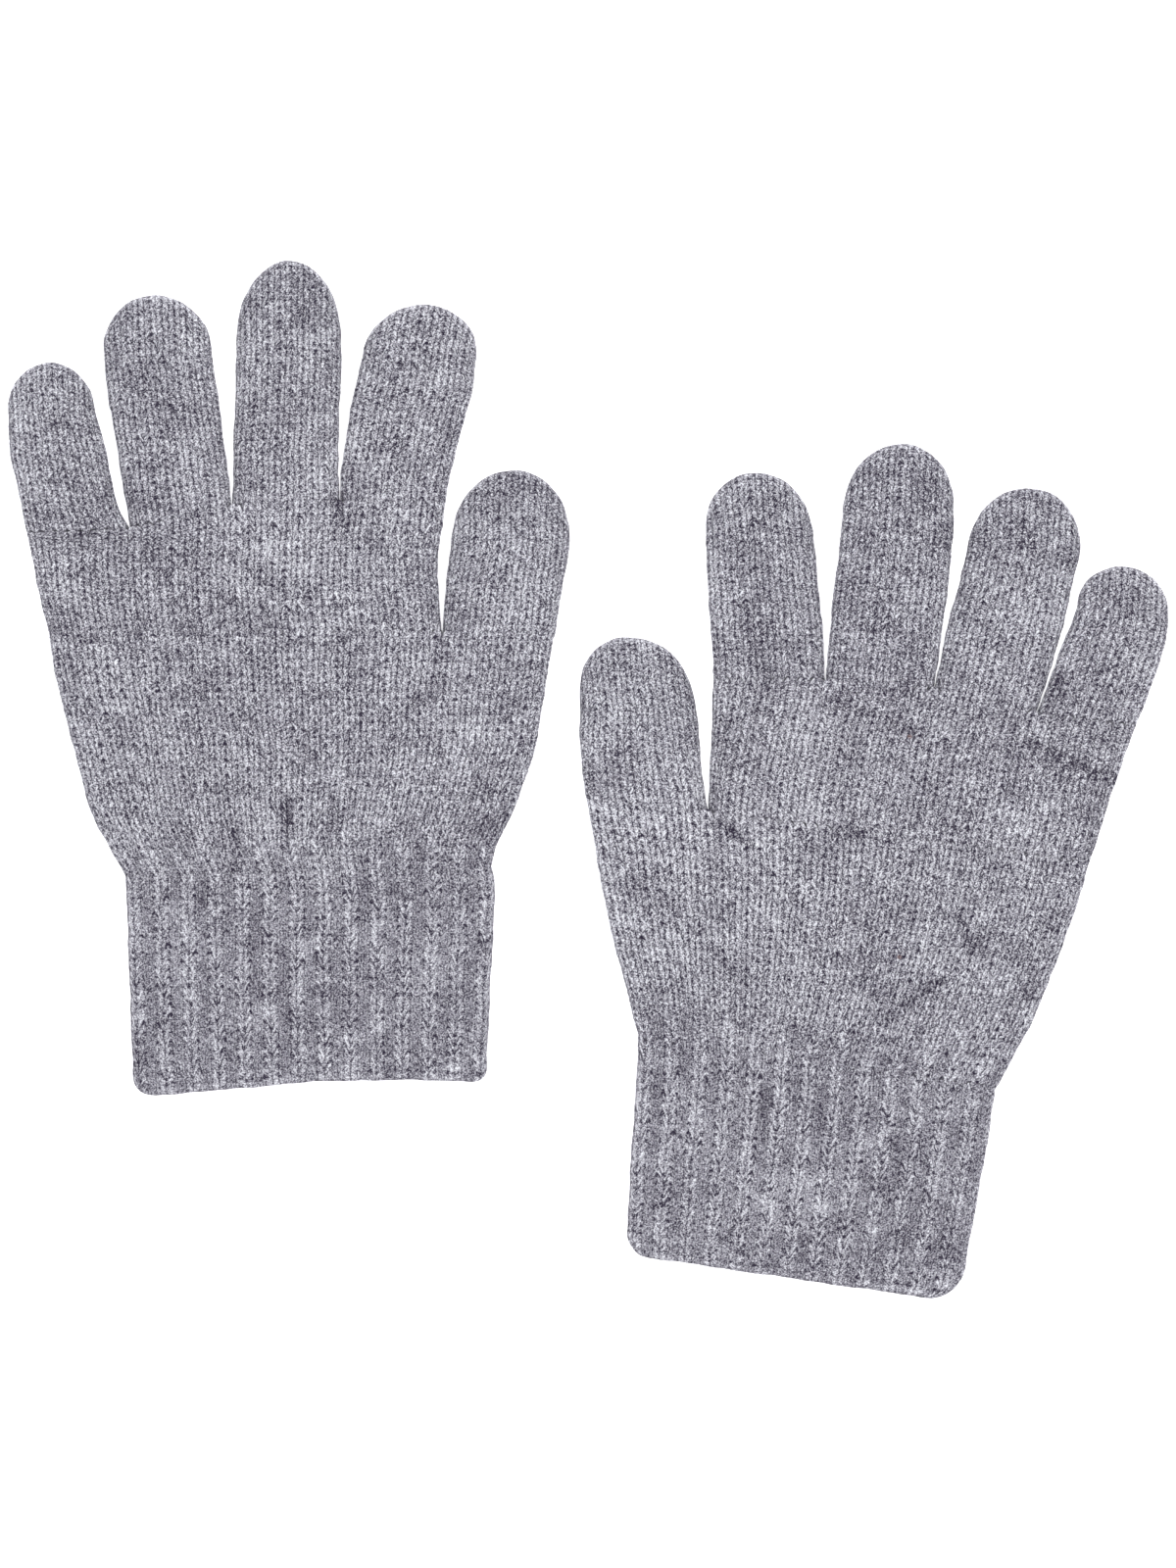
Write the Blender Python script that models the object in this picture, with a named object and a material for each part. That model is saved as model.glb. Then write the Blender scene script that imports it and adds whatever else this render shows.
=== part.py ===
"""Pair of knitted gloves with ribbed cuffs, laid flat side by side.

Each glove is knitted without seams, as eight tubes that join: four fingers, the upper
hand under them, the thumb, the lower hand and the ribbed cuff. Laid flat, a tube is two
layers of cloth that lie on each other, with a rounded fold at each side.

Lengths are in millimetres in the pair's own frame: +X to the right, +Y toward the
fingertips, +Z up, the origin on the ground at the middle of the pair.
"""

import math
from collections import namedtuple

import bmesh
import bpy
from mathutils import Vector

MM = 0.001

# Cloth and its layers
JERSEY_WALL = 1.9
SLIT = 0.5
FLAT_HEIGHT = 2.0 * JERSEY_WALL + SLIT
FOLD_RADIUS = 2.3
LARGEST_FOLD_SHARE = 0.8
LARGEST_DRAW_IN = 0.3
SEAM_GAP = 0.3
FINGER_DOME = 0.35
HAND_DOME = 0.25
HAND_DOME_POWER = 4
EDGE_FADE_POWER = 8
SHARP_ANGLE = math.radians(50.0)

# Ribs of the cuff, and the soft roll of jersey above it
RIBS_PER_FACE = 13
RIB_HEIGHT = 0.7
RIB_CREST = 0.34
RIB_FLANK = 0.14
ROLL_HEIGHT = 0.5
ROLL_LENGTH = 3.5
ROLL_CENTRE = 4.5

# Mesh density: marks across the upper layer, the lower layer, and stations along
FOLD_ANGLES = [math.radians(degrees) for degrees in (48.0, 0.0, -48.0)]
TIP_ANGLES = [math.radians(degrees) for degrees in (20.0, 38.0, 54.0, 68.0, 80.0)]
FINGER_MARKS = 7
FINGER_INSIDE_MARKS = 5
UPPER_MARKS = 25
LOWER_MARKS = 33
HAND_LOWER_LAYER_MARKS = 13
HAND_INSIDE_MARKS = 13
LINE_STEPS = 8
STEPS_PER_SECTION = 2
LOWER_STEPS = 3
CUFF_STATIONS = (0.0, 0.3, 0.6, 0.82, 0.89, 0.94, 0.975, 1.0)
CORNER_REACH = 3.0

YARN_COLOUR = (0.313, 0.307, 0.356, 1.0)
YARN_ROUGHNESS = 0.95

# A section crosses a tube from its left edge to its right edge.
Section = namedtuple("Section", "left_x left_y right_x right_y")
Point = namedtuple("Point", "x y")
Digit = namedtuple("Digit", "sections tip blunt", defaults=(2.0,))
Crease = namedtuple("Crease", "from_x from_y to_x to_y depth width")
Corner = namedtuple("Corner", "left_radius right_radius")
Glove = namedtuple(
    "Glove",
    "name knuckles digits thumb thumb_line thumb_from thumb_to upper lower wrist cuff hem corner creases",
)

LEFT = Glove(
    name="left",
    # The edge where the fingers meet the hand: outer side, three crotches, inner side
    knuckles=[
        Point(-120.3, 52.6),
        Point(-98.2, 53.7),
        Point(-76.2, 58.3),
        Point(-53.3, 59.3),
        Point(-30.4, 59.3),
    ],
    digits={
        "little_finger": Digit(
            sections=[
                Section(-121.2, 57.2, -100.4, 57.6),
                Section(-122.2, 61.8, -101.6, 62.3),
                Section(-123.9, 69.8, -103.3, 70.7),
                Section(-124.4, 78.2, -105.5, 78.6),
            ],
            tip=Point(-115.4, 89.2),
        ),
        "ring_finger": Digit(
            sections=[
                Section(-101.6, 74.4, -78.2, 74.4),
                Section(-103.3, 84.9, -79.7, 85.4),
                Section(-103.8, 91.7, -80.6, 91.7),
            ],
            tip=Point(-92.7, 103.7),
        ),
        "middle_finger": Digit(
            sections=[
                Section(-75.9, 74.4, -53.4, 74.4),
                Section(-75.5, 84.9, -52.9, 84.9),
                Section(-75.4, 93.8, -52.8, 93.8),
            ],
            tip=Point(-64.1, 111.1),
        ),
        "index_finger": Digit(
            sections=[
                Section(-52.9, 66.0, -29.3, 66.0),
                Section(-51.2, 77.8, -26.4, 77.0),
                Section(-49.6, 85.5, -24.5, 84.5),
                Section(-48.2, 91.6, -24.0, 89.6),
            ],
            tip=Point(-34.1, 101.6),
        ),
    },
    thumb=Digit(
        sections=[
            Section(-30.6, 40.8, -5.5, 40.4),
            Section(-29.4, 50.1, -3.8, 50.7),
        ],
        tip=Point(-16.3, 66.1),
        blunt=2.1,
    ),
    # The line across the hand at the thumb's crotch, and the thumb's share of it
    thumb_line=Section(-115.9, 32.2, -7.1, 31.1),
    thumb_from=0.778,
    thumb_to=1.0,
    upper=[
        Section(-119.5, 48.8, -31.9, 48.8),
        Section(-117.9, 40.8, -32.0, 40.8),
    ],
    lower=[
        Section(-113.7, 19.8, -9.1, 19.4),
        Section(-110.4, 7.2, -11.2, 6.8),
        Section(-107.1, -5.4, -15.3, -5.4),
        Section(-103.2, -13.8, -19.1, -13.5),
    ],
    wrist=Section(-99.1, -21.1, -20.6, -18.8),
    cuff=[
        Section(-99.0, -26.4, -19.8, -24.7),
        Section(-98.4, -43.2, -20.7, -43.2),
    ],
    hem=[
        Point(-97.5, -68.1),
        Point(-78.2, -66.6),
        Point(-59.1, -64.9),
        Point(-40.4, -64.5),
        Point(-21.7, -64.8),
    ],
    corner=Corner(left_radius=4.2, right_radius=2.4),
    creases=[
        Crease(-64.6, -5.4, -64.6, -13.8, depth=0.8, width=1.8),
        Crease(-74.4, -12.2, -74.4, -19.0, depth=0.6, width=1.8),
        Crease(-54.1, -5.4, -54.1, -11.7, depth=0.5, width=1.8),
        Crease(-21.5, -16.0, -31.4, -9.1, depth=0.4, width=3.0),
        Crease(-53.3, 59.3, -52.0, 54.0, depth=0.5, width=2.0),
        Crease(-31.5, 30.5, -35.0, 24.0, depth=0.5, width=2.4),
    ],
)

RIGHT = Glove(
    name="right",
    knuckles=[
        Point(26.8, 21.3),
        Point(50.9, 21.1),
        Point(74.2, 19.2),
        Point(96.1, 14.2),
        Point(117.4, 11.2),
    ],
    digits={
        "index_finger": Digit(
            sections=[
                Section(26.4, 30.3, 50.5, 30.3),
                Section(25.7, 38.7, 49.7, 38.7),
                Section(25.2, 52.4, 48.3, 52.8),
            ],
            tip=Point(35.6, 65.7),
        ),
        "middle_finger": Digit(
            sections=[
                Section(51.6, 30.3, 75.6, 29.3),
                Section(52.6, 40.8, 77.2, 40.8),
                Section(54.0, 51.8, 78.3, 51.8),
                Section(54.6, 58.1, 78.4, 58.1),
            ],
            tip=Point(67.3, 71.8),
        ),
        "ring_finger": Digit(
            sections=[
                Section(76.9, 32.4, 100.9, 29.3),
                Section(79.3, 41.3, 103.8, 41.3),
                Section(81.3, 49.2, 105.5, 48.8),
            ],
            tip=Point(94.4, 62.4),
        ),
        "little_finger": Digit(
            sections=[
                Section(99.5, 23.2, 122.3, 24.0),
                Section(103.0, 32.4, 124.2, 32.0),
                Section(104.8, 36.9, 124.4, 35.2),
            ],
            tip=Point(115.0, 45.6),
        ),
    },
    thumb=Digit(
        sections=[
            Section(-1.2, 0.9, 24.6, 0.5),
            Section(-1.8, 9.3, 23.8, 9.3),
            Section(-1.7, 15.2, 23.3, 14.4),
        ],
        tip=Point(9.2, 30.4),
        blunt=2.2,
    ),
    thumb_line=Section(-0.5, -3.6, 107.5, -18.0),
    thumb_from=0.0,
    thumb_to=0.242,
    upper=[
        Section(26.4, 9.3, 113.9, 1.8),
    ],
    lower=[
        Section(2.1, -19.0, 104.2, -28.9),
        Section(4.5, -31.2, 100.7, -38.5),
        Section(7.9, -44.2, 95.3, -51.7),
    ],
    wrist=Section(10.6, -54.7, 87.3, -66.7),
    cuff=[
        Section(10.1, -66.3, 86.2, -74.7),
        Section(8.9, -83.1, 84.0, -87.3),
    ],
    hem=[Point(8.1, -101.8), Point(43.8, -107.0), Point(79.5, -112.1)],
    corner=Corner(left_radius=4.6, right_radius=7.4),
    creases=[
        Crease(64.2, -51.6, 71.5, -46.3, depth=0.6, width=2.2),
        Crease(78.9, -30.6, 84.1, -36.9, depth=0.4, width=2.2),
        Crease(94.6, 7.9, 113.5, 0.5, depth=0.6, width=2.0),
        Crease(26.4, -8.5, 34.8, -14.2, depth=0.6, width=2.2),
        Crease(24.3, -32.7, 33.7, -43.2, depth=0.4, width=2.4),
    ],
)


def clear_scene():
    for item in list(bpy.data.objects):
        bpy.data.objects.remove(item, do_unlink=True)


def yarn_material(name):
    material = bpy.data.materials.new(name)
    material.use_nodes = True
    shader = material.node_tree.nodes["Principled BSDF"]
    shader.inputs["Base Color"].default_value = YARN_COLOUR
    shader.inputs["Roughness"].default_value = YARN_ROUGHNESS
    shader.inputs["Metallic"].default_value = 0.0
    return material


def marks(count):
    """Evenly spaced marks across a layer, from -1 at its left to 1 at its right."""
    return [2.0 * index / (count - 1) - 1.0 for index in range(count)]


def rib_marks():
    """The marks of a ribbed layer: each rib has two flanks and a crest between."""
    pitch = 2.0 / RIBS_PER_FACE
    offsets = (-0.5 * RIB_CREST - RIB_FLANK, -0.5 * RIB_CREST, 0.5 * RIB_CREST, 0.5 * RIB_CREST + RIB_FLANK)
    ribs = [-1.0 + pitch * (rib + 0.5 + offset) for rib in range(RIBS_PER_FACE) for offset in offsets]
    return [-1.0] + ribs + [1.0]


def rib_rise(mark):
    """Height of the ribs above the valleys at a mark, as a trapezoid for each rib."""
    phase = abs((mark + 1.0) * RIBS_PER_FACE / 2.0 % 1.0 - 0.5)
    return RIB_HEIGHT * min(1.0, max(0.0, (0.5 * RIB_CREST + RIB_FLANK - phase) / RIB_FLANK))


def smooth(points, place):
    """A point on the smooth curve through the points, at place 0 to len(points) - 1."""
    last = len(points) - 1
    index = min(int(place), last - 1)
    along = place - index
    start, end = points[index], points[index + 1]
    before = points[index - 1] if index > 0 else start * 2.0 - end
    after = points[index + 2] if index + 2 <= last else end * 2.0 - start
    bend = (before * -1.0 + start * 3.0 - end * 3.0 + after) * along**3
    lean = (before * 2.0 - start * 5.0 + end * 4.0 - after) * along**2
    return start + (bend + lean + (end - before) * along) * 0.5


def straight(section):
    """A section as a line of two plan points."""
    return [Vector((section.left_x, section.left_y)), Vector((section.right_x, section.right_y))]


def curve(points):
    """Named points as a line of plan points."""
    return [Vector((point.x, point.y)) for point in points]


def across(line, share):
    """The plan point at a share of the way along a line, from 0 at its left to 1."""
    return smooth(line, share * (len(line) - 1))


def part_of(line, start, end, inset=0.0, shift=0.0):
    """Points of a line between two shares, drawn in at its ends and moved in Y."""
    width = (across(line, end) - across(line, start)).length
    margin = inset / width * (end - start)
    first, last = start + margin, end - margin
    shares = [first + (last - first) * step / LINE_STEPS for step in range(LINE_STEPS + 1)]
    return [across(line, place) + Vector((0.0, shift)) for place in shares]


def crease_depth(point, creases):
    """How far the upper layer sinks at a plan point, from all the creases."""
    depth = 0.0
    for crease in creases:
        start = Vector((crease.from_x, crease.from_y))
        run = Vector((crease.to_x, crease.to_y)) - start
        share = min(1.0, max(0.0, (point - start).dot(run) / run.length_squared))
        distance = (point - start - run * share).length
        depth += crease.depth * math.exp(-((distance / crease.width) ** 2))
    return depth


def profile(half_width, half_height, fold, top, bottom):
    """A flattened tube's section: share across, height from its middle, mark on top."""
    fold = min(fold, LARGEST_FOLD_SHARE * half_width)
    flat = half_width - fold
    points = [(mark * flat, half_height, mark) for mark in top]
    points += [
        (flat + fold * math.cos(angle), half_height * math.sin(angle), None) for angle in FOLD_ANGLES
    ]
    points += [(-mark * flat, -half_height, None) for mark in bottom]
    points += [
        (-flat - fold * math.cos(angle), half_height * math.sin(angle), None)
        for angle in reversed(FOLD_ANGLES)
    ]
    return [(0.5 + 0.5 * side / half_width, height, mark) for side, height, mark in points]


def ring(plan, half_height, fold, top, bottom, rise):
    """One ring of a tube: plan gives its points across, rise the relief of its top."""
    half_width = 0.5 * (plan(1.0) - plan(0.0)).length
    points = []
    for share, height, mark in profile(half_width, half_height, fold, top, bottom):
        spot = plan(share)
        lift = 0.0 if mark is None else rise(spot, mark)
        points.append(Vector((spot.x, spot.y, 0.5 * FLAT_HEIGHT + height + lift)))
    return points


def station(lines, place):
    """The plan function of a tube at a place between its lines."""
    return lambda share: smooth([across(line, share) for line in lines], place)


def stations(lines, steps):
    """Plan functions along a tube, with this many steps from each line to the next."""
    count = (len(lines) - 1) * steps
    return [station(lines, index / steps) for index in range(count + 1)]


def shrunk(plan, wall):
    """A plan function drawn in by the wall at both its ends."""
    width = (plan(1.0) - plan(0.0)).length
    share = min(LARGEST_DRAW_IN, wall / width)
    return lambda place: plan(share + (1.0 - 2.0 * share) * place)


def no_rise(spot, mark):
    """The relief of a plain face: none."""
    return 0.0


def inner_ring(plan, count):
    """One ring of the plain inside, drawn in by the wall from the plan's ends."""
    half_slit = 0.5 * SLIT
    return ring(shrunk(plan, JERSEY_WALL), half_slit, half_slit, marks(count), marks(count), no_rise)


def tip_station(line, tip, angle, blunt):
    """A plan function on a digit's end, a superellipse from its last line to its tip."""
    centre = across(line, 0.5)
    middle = centre + (tip - centre) * math.sin(angle) ** (2.0 / blunt)
    width = math.cos(angle) ** (2.0 / blunt)
    return lambda share: middle + (across(line, share) - centre) * width


def tip_height(line, tip, angle, blunt, half_height):
    """Half the height of the rounded end, which falls over the fold's radius."""
    reach = 1.0 - math.sin(angle) ** (2.0 / blunt)
    sunk = max(0.0, 1.0 - (tip - across(line, 0.5)).length * reach / FOLD_RADIUS)
    return half_height * math.sqrt(1.0 - sunk * sunk)


def add_ring(shape, points):
    return [shape.verts.new(point * MM) for point in points]


def skin(shape, rings):
    """Quads between each ring and the next."""
    for lower, upper in zip(rings, rings[1:]):
        for index, vertex in enumerate(lower):
            after = (index + 1) % len(lower)
            shape.faces.new((vertex, lower[after], upper[after], upper[index]))


def cap(shape, ring_vertices, tip_point):
    """A fan from a ring to one point."""
    apex = shape.verts.new(tip_point * MM)
    for index, vertex in enumerate(ring_vertices):
        shape.faces.new((vertex, ring_vertices[(index + 1) % len(ring_vertices)], apex))


def join_mouth(shape, outer_ring, inner_ring):
    """The cut edge of the cloth: triangles between the two rings of an open end.

    Both rings start at their upper left and run the same way round, so each triangle
    takes the next vertex of the ring that gives it the shorter side.
    """
    outer_count, inner_count = len(outer_ring), len(inner_ring)
    outer_step, inner_step = 0, 0
    while outer_step < outer_count or inner_step < inner_count:
        outer_now, inner_now = outer_ring[outer_step % outer_count], inner_ring[inner_step % inner_count]
        outer_next = outer_ring[(outer_step + 1) % outer_count]
        inner_next = inner_ring[(inner_step + 1) % inner_count]
        outer_side = (outer_next.co - inner_now.co).length
        inner_side = (inner_next.co - outer_now.co).length
        if inner_step == inner_count or (outer_step < outer_count and outer_side <= inner_side):
            shape.faces.new((outer_now, outer_next, inner_now))
            outer_step += 1
        else:
            shape.faces.new((outer_now, inner_next, inner_now))
            inner_step += 1


def finish(shape, name, parent):
    """Turns a bmesh into an object with its origin at its middle, under its glove."""
    bmesh.ops.recalc_face_normals(shape, faces=shape.faces)
    total = sum((vertex.co for vertex in shape.verts), Vector())
    origin = total / len(shape.verts)
    origin.z = 0.0
    bmesh.ops.translate(shape, verts=shape.verts, vec=-origin)
    mesh = bpy.data.meshes.new(name)
    shape.to_mesh(mesh)
    shape.free()
    mesh.shade_smooth()
    mesh.set_sharp_from_angle(angle=SHARP_ANGLE)
    mesh.materials.append(yarn_material(name + "_yarn"))
    piece = bpy.data.objects.new(name, mesh)
    bpy.context.collection.objects.link(piece)
    piece.parent = parent
    piece.location = origin - parent.location
    return piece


def build_digit(glove, parent, name, digit, base):
    """A finger or thumb: a tube open at its base, with a rounded, closed tip."""
    lines = [base] + [straight(section) for section in digit.sections]
    last, tip = lines[-1], Vector((digit.tip.x, digit.tip.y))
    half_height = 0.5 * FLAT_HEIGHT
    top, bottom = marks(FINGER_MARKS), marks(FINGER_MARKS - 1)

    def rise(spot, mark):
        return (1.0 - mark * mark) * FINGER_DOME

    outer = [
        ring(plan, half_height, FOLD_RADIUS, top, bottom, rise)
        for plan in stations(lines, STEPS_PER_SECTION)
    ]
    for angle in TIP_ANGLES:
        height = tip_height(last, tip, angle, digit.blunt, half_height)
        reach = height / half_height
        outer.append(
            ring(
                tip_station(last, tip, angle, digit.blunt),
                height,
                FOLD_RADIUS,
                top,
                bottom,
                lambda spot, mark, reach=reach: rise(spot, mark) * reach,
            )
        )
    inner_tip = tip + (across(last, 0.5) - tip).normalized() * JERSEY_WALL
    inner = [inner_ring(plan, FINGER_INSIDE_MARKS) for plan in stations(lines, 1)]
    inner += [
        inner_ring(tip_station(last, inner_tip, angle, digit.blunt), FINGER_INSIDE_MARKS)
        for angle in TIP_ANGLES[1::2]
    ]

    shape = bmesh.new()
    outer_rings = [add_ring(shape, points) for points in outer]
    inner_rings = [add_ring(shape, points) for points in inner]
    skin(shape, outer_rings)
    skin(shape, inner_rings)
    cap(shape, outer_rings[-1], Vector((tip.x, tip.y, half_height)))
    cap(shape, inner_rings[-1], Vector((inner_tip.x, inner_tip.y, half_height)))
    join_mouth(shape, outer_rings[0], inner_rings[0])
    return finish(shape, glove.name + "_" + name, parent)


def build_band(glove, parent, name, outer, inner):
    """A tube that is open at both ends."""
    shape = bmesh.new()
    outer_rings = [add_ring(shape, points) for points in outer]
    inner_rings = [add_ring(shape, points) for points in inner]
    skin(shape, outer_rings)
    skin(shape, inner_rings)
    join_mouth(shape, outer_rings[0], inner_rings[0])
    join_mouth(shape, outer_rings[-1], inner_rings[-1])
    return finish(shape, glove.name + "_" + name, parent)


def hand_rise(glove, wrist=None):
    """The relief of the hand's upper layer: a slight dome, the roll and the creases."""

    def rise(spot, mark):
        lift = (1.0 - mark**HAND_DOME_POWER) * HAND_DOME
        lift -= crease_depth(spot, glove.creases)
        if wrist:
            normal = (wrist[-1] - wrist[0]).orthogonal().normalized()
            distance = abs((spot - wrist[0]).dot(normal)) - ROLL_CENTRE
            lift += ROLL_HEIGHT * math.exp(-((distance / ROLL_LENGTH) ** 2))
        return lift * (1.0 - mark**EDGE_FADE_POWER)

    return rise


def build_hand(glove, parent):
    """The upper hand, from the fingers to the thumb's crotch, and the lower hand."""
    half_height = 0.5 * FLAT_HEIGHT
    half_gap = 0.5 * SEAM_GAP
    knuckles = curve(glove.knuckles)
    thumb_line = straight(glove.thumb_line)
    wrist = straight(glove.wrist)
    fingers_from = glove.thumb_to if glove.thumb_from == 0.0 else 0.0
    fingers_to = glove.thumb_from if fingers_from == 0.0 else 1.0

    lowered = [point - Vector((0.0, half_gap)) for point in knuckles]
    crotch = part_of(thumb_line, fingers_from, fingers_to, 0.0, half_gap)
    lines = [lowered] + [straight(section) for section in glove.upper] + [crotch]
    rise = hand_rise(glove)
    top, bottom = marks(UPPER_MARKS), marks(HAND_LOWER_LAYER_MARKS)
    outer = [
        ring(plan, half_height, FOLD_RADIUS, top, bottom, rise)
        for plan in stations(lines, STEPS_PER_SECTION * 2)
    ]
    inner = [inner_ring(plan, HAND_INSIDE_MARKS) for plan in stations(lines, 1)]
    build_band(glove, parent, "upper_hand", outer, inner)

    first = part_of(thumb_line, 0.0, 1.0, 0.0, -half_gap)
    final = part_of(wrist, 0.0, 1.0, 0.0, half_gap)
    lines = [first] + [straight(section) for section in glove.lower] + [final]
    rise = hand_rise(glove, wrist)
    top, bottom = marks(LOWER_MARKS), marks(HAND_LOWER_LAYER_MARKS)
    outer = [
        ring(plan, half_height, FOLD_RADIUS, top, bottom, rise) for plan in stations(lines, LOWER_STEPS)
    ]
    inner = [inner_ring(plan, HAND_INSIDE_MARKS) for plan in stations(lines, 1)]
    build_band(glove, parent, "lower_hand", outer, inner)


def corner_inset(distance, radius):
    """How far a rounded corner draws in an edge at a distance from the hem."""
    sunk = max(0.0, radius - distance)
    return radius - math.sqrt(radius * radius - sunk * sunk)


def cornered(plan, hem_left, hem_right, corner):
    """A plan function with its ends drawn in near the hem by the cuff's round corners."""
    left, right = plan(0.0), plan(1.0)
    width = (right - left).length
    left_inset = corner_inset((left - hem_left).length, corner.left_radius) / width
    right_inset = corner_inset((right - hem_right).length, corner.right_radius) / width

    def drawn_in(share):
        place = share
        if left_inset > 0.0:
            place += left_inset * max(0.0, 1.0 - share / (CORNER_REACH * left_inset)) ** 2
        if right_inset > 0.0:
            place -= right_inset * max(0.0, 1.0 - (1.0 - share) / (CORNER_REACH * right_inset)) ** 2
        return plan(place)

    return drawn_in


def build_cuff(glove, parent):
    """The ribbed cuff: ribs raised in the wall's outer points over a plain inside."""
    half_height = 0.5 * FLAT_HEIGHT
    first = part_of(straight(glove.wrist), 0.0, 1.0, 0.0, -0.5 * SEAM_GAP)
    hem = curve(glove.hem)
    lines = [first] + [straight(section) for section in glove.cuff] + [hem]
    last = len(lines) - 1
    plans = [
        cornered(station(lines, place * last), hem[0], hem[-1], glove.corner) for place in CUFF_STATIONS
    ]
    top, bottom = rib_marks(), marks(HAND_LOWER_LAYER_MARKS)
    outer = [
        ring(plan, half_height, FOLD_RADIUS, top, bottom, lambda spot, mark: rib_rise(mark)) for plan in plans
    ]
    inner = [inner_ring(plan, HAND_INSIDE_MARKS) for plan in plans[::2] + [plans[-1]]]
    build_band(glove, parent, "cuff", outer, inner)


def build_glove(glove):
    """All the tubes of one glove, under an empty at the middle of its wrist."""
    wrist = straight(glove.wrist)
    parent = bpy.data.objects.new(glove.name + "_glove", None)
    bpy.context.collection.objects.link(parent)
    middle = across(wrist, 0.5) * MM
    parent.location = (middle.x, middle.y, 0.0)

    knuckles = curve(glove.knuckles)
    half_gap = 0.5 * SEAM_GAP
    share = 1.0 / len(glove.digits)
    for index, (name, digit) in enumerate(glove.digits.items()):
        base = part_of(knuckles, index * share, (index + 1) * share, half_gap, half_gap)
        build_digit(glove, parent, name, digit, base)
    thumb_line = straight(glove.thumb_line)
    base = part_of(thumb_line, glove.thumb_from, glove.thumb_to, half_gap, half_gap)
    build_digit(glove, parent, "thumb", glove.thumb, base)
    build_hand(glove, parent)
    build_cuff(glove, parent)


def main():
    clear_scene()
    for glove in (LEFT, RIGHT):
        build_glove(glove)


main()
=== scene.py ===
"""Pair of knitted gloves with ribbed cuffs: the knit itself, its yarn and a plain studio.

Each glove is eight knitted tubes. A tube's mesh follows its stitches: its columns run along
the wales, eight to a wale, and its rows bend into the V of each stitch. So the legs of the
stitches, the ribs, the soft creases and the rounded folds are all real form. The yarn's colour
adds painted light on the leg crests and painted shade in the pits, the rib grooves and the creases.

Plan lengths are in millimetres in the pair's own frame: +X to the right, +Y toward the
fingertips, +Z up, the origin on the ground at the middle of the pair.
"""

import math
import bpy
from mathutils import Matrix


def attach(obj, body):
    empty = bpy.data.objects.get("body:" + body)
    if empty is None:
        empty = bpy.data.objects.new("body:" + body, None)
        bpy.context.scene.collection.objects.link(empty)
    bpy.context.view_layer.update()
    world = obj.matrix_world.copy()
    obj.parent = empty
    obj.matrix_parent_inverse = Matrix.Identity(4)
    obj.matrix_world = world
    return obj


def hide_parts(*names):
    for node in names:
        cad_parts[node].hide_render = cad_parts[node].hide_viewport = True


bl_info = {
    "name": "Knitted gloves",
    "version": (1, 0, 0),
    "blender": (4, 5, 0),
    "location": "View3D > Sidebar > Gloves",
    "description": "Knits a pair of laid-out gloves stitch by stitch and lights them in a plain studio",
    "category": "Add Mesh",
}

from collections import namedtuple

import bpy
import numpy as np

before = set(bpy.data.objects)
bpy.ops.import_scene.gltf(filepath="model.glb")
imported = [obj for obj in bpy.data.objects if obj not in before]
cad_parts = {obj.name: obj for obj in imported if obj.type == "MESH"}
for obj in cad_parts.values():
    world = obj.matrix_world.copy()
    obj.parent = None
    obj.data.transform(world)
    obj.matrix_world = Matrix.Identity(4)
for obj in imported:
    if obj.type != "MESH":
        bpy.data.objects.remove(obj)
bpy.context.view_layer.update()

MM = 0.001

# The laid-out form, in the same values as the solids
JERSEY_WALL = 1.9
SLIT = 0.5
FLAT_HEIGHT = 4.3
HALF_HEIGHT = 0.5 * FLAT_HEIGHT
FOLD_RADIUS = 2.3
FOLD_SHARE = 0.8
FINGER_DOME = 0.35
HAND_DOME = 0.25
ROLL_HEIGHT = 0.5
ROLL_LENGTH = 3.5
ROLL_CENTRE = 4.5
CORNER_REACH = 3.0

# How that form is rounded off and fades out
CUFF_WIDTH = 77.0
HAND_DOME_POWER = 4
FOLD_FADE_POWER = 8
DOME_FADE = 7.0
RELIEF_FADE = 1.5
HEM_ROUND = 0.9
TIP_SETTLE = 3.0

# The share of its square that a round tip leaves out of the tube's area
ROUND_TIP_LOSS = 0.2146

# The mesh of a stitch, and the heights across one of its two legs from foot to arm
COLUMNS_PER_WALE = 8
ROWS_PER_COURSE = 4
LEG_ARMS = [0.0, 0.2, 0.42, 0.7, 1.0]
RIDGE_HEIGHTS = [0.5, 0.92, 1.0, 0.85, 0.4]
GAP_HEIGHTS = [0.1, 0.7, 0.8, 0.6, 0.0]
FOOT_ARM = 0.13
STEEP_ARMS = 0.6
SLANT_FADE = 5.0
SIDE_RELIEF = 0.3
DIGIT_ANCHOR = 0.6

# Mesh rows near a free end, in courses, and how finely a tube's middle line is measured
HEM_ROWS = [0.0, 0.08, 0.2]
TIP_ROWS = [0.14, 0.04, 0.0]
INNER_ROWS = 7
LEAST_COURSES = 4
LINE_REACH = 0.4
LINE_SAMPLES = 400

# How one stitch differs from the next
LEG_SWELL = 0.25
LEG_SPLAY = 0.16
LEG_MIDDLE = 0.45
LEG_STRAY = 0.06
POINT_STRAY = 0.04
DRIFT = 0.35

# Height of a course in each kind of tube
DIGIT_COURSE = 1.5
UPPER_COURSE = 1.55
LOWER_COURSE = 1.68
CUFF_COURSE = 1.8

# Ribs, three wales each: the crest takes more than its share of the width
WALES_PER_RIB = 3
RIB_CREST_WALES = 1.72
RIB_HALF_CREST = 1.05
RIB_FLANK = 0.7
RIB_WARP_WALES = [0.0, 1.0, 2.0, 3.0]
RIB_WARP_PLACES = [0.0, 0.5 * (3.0 - RIB_CREST_WALES), 0.5 * (3.0 + RIB_CREST_WALES), 3.0]
RIB_FADE = 7.0
WRIST_RIB = 0.7
HAND_RIB_FADE = 12.0
CREST_SLANT = 0.5
VALLEY_SLANT = 0.75
VALLEY_SMOOTHING = 0.7

# Painted shade in the creases: how dark it is, how much darker one stitch may be at most, and how narrow a
# crease is
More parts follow.
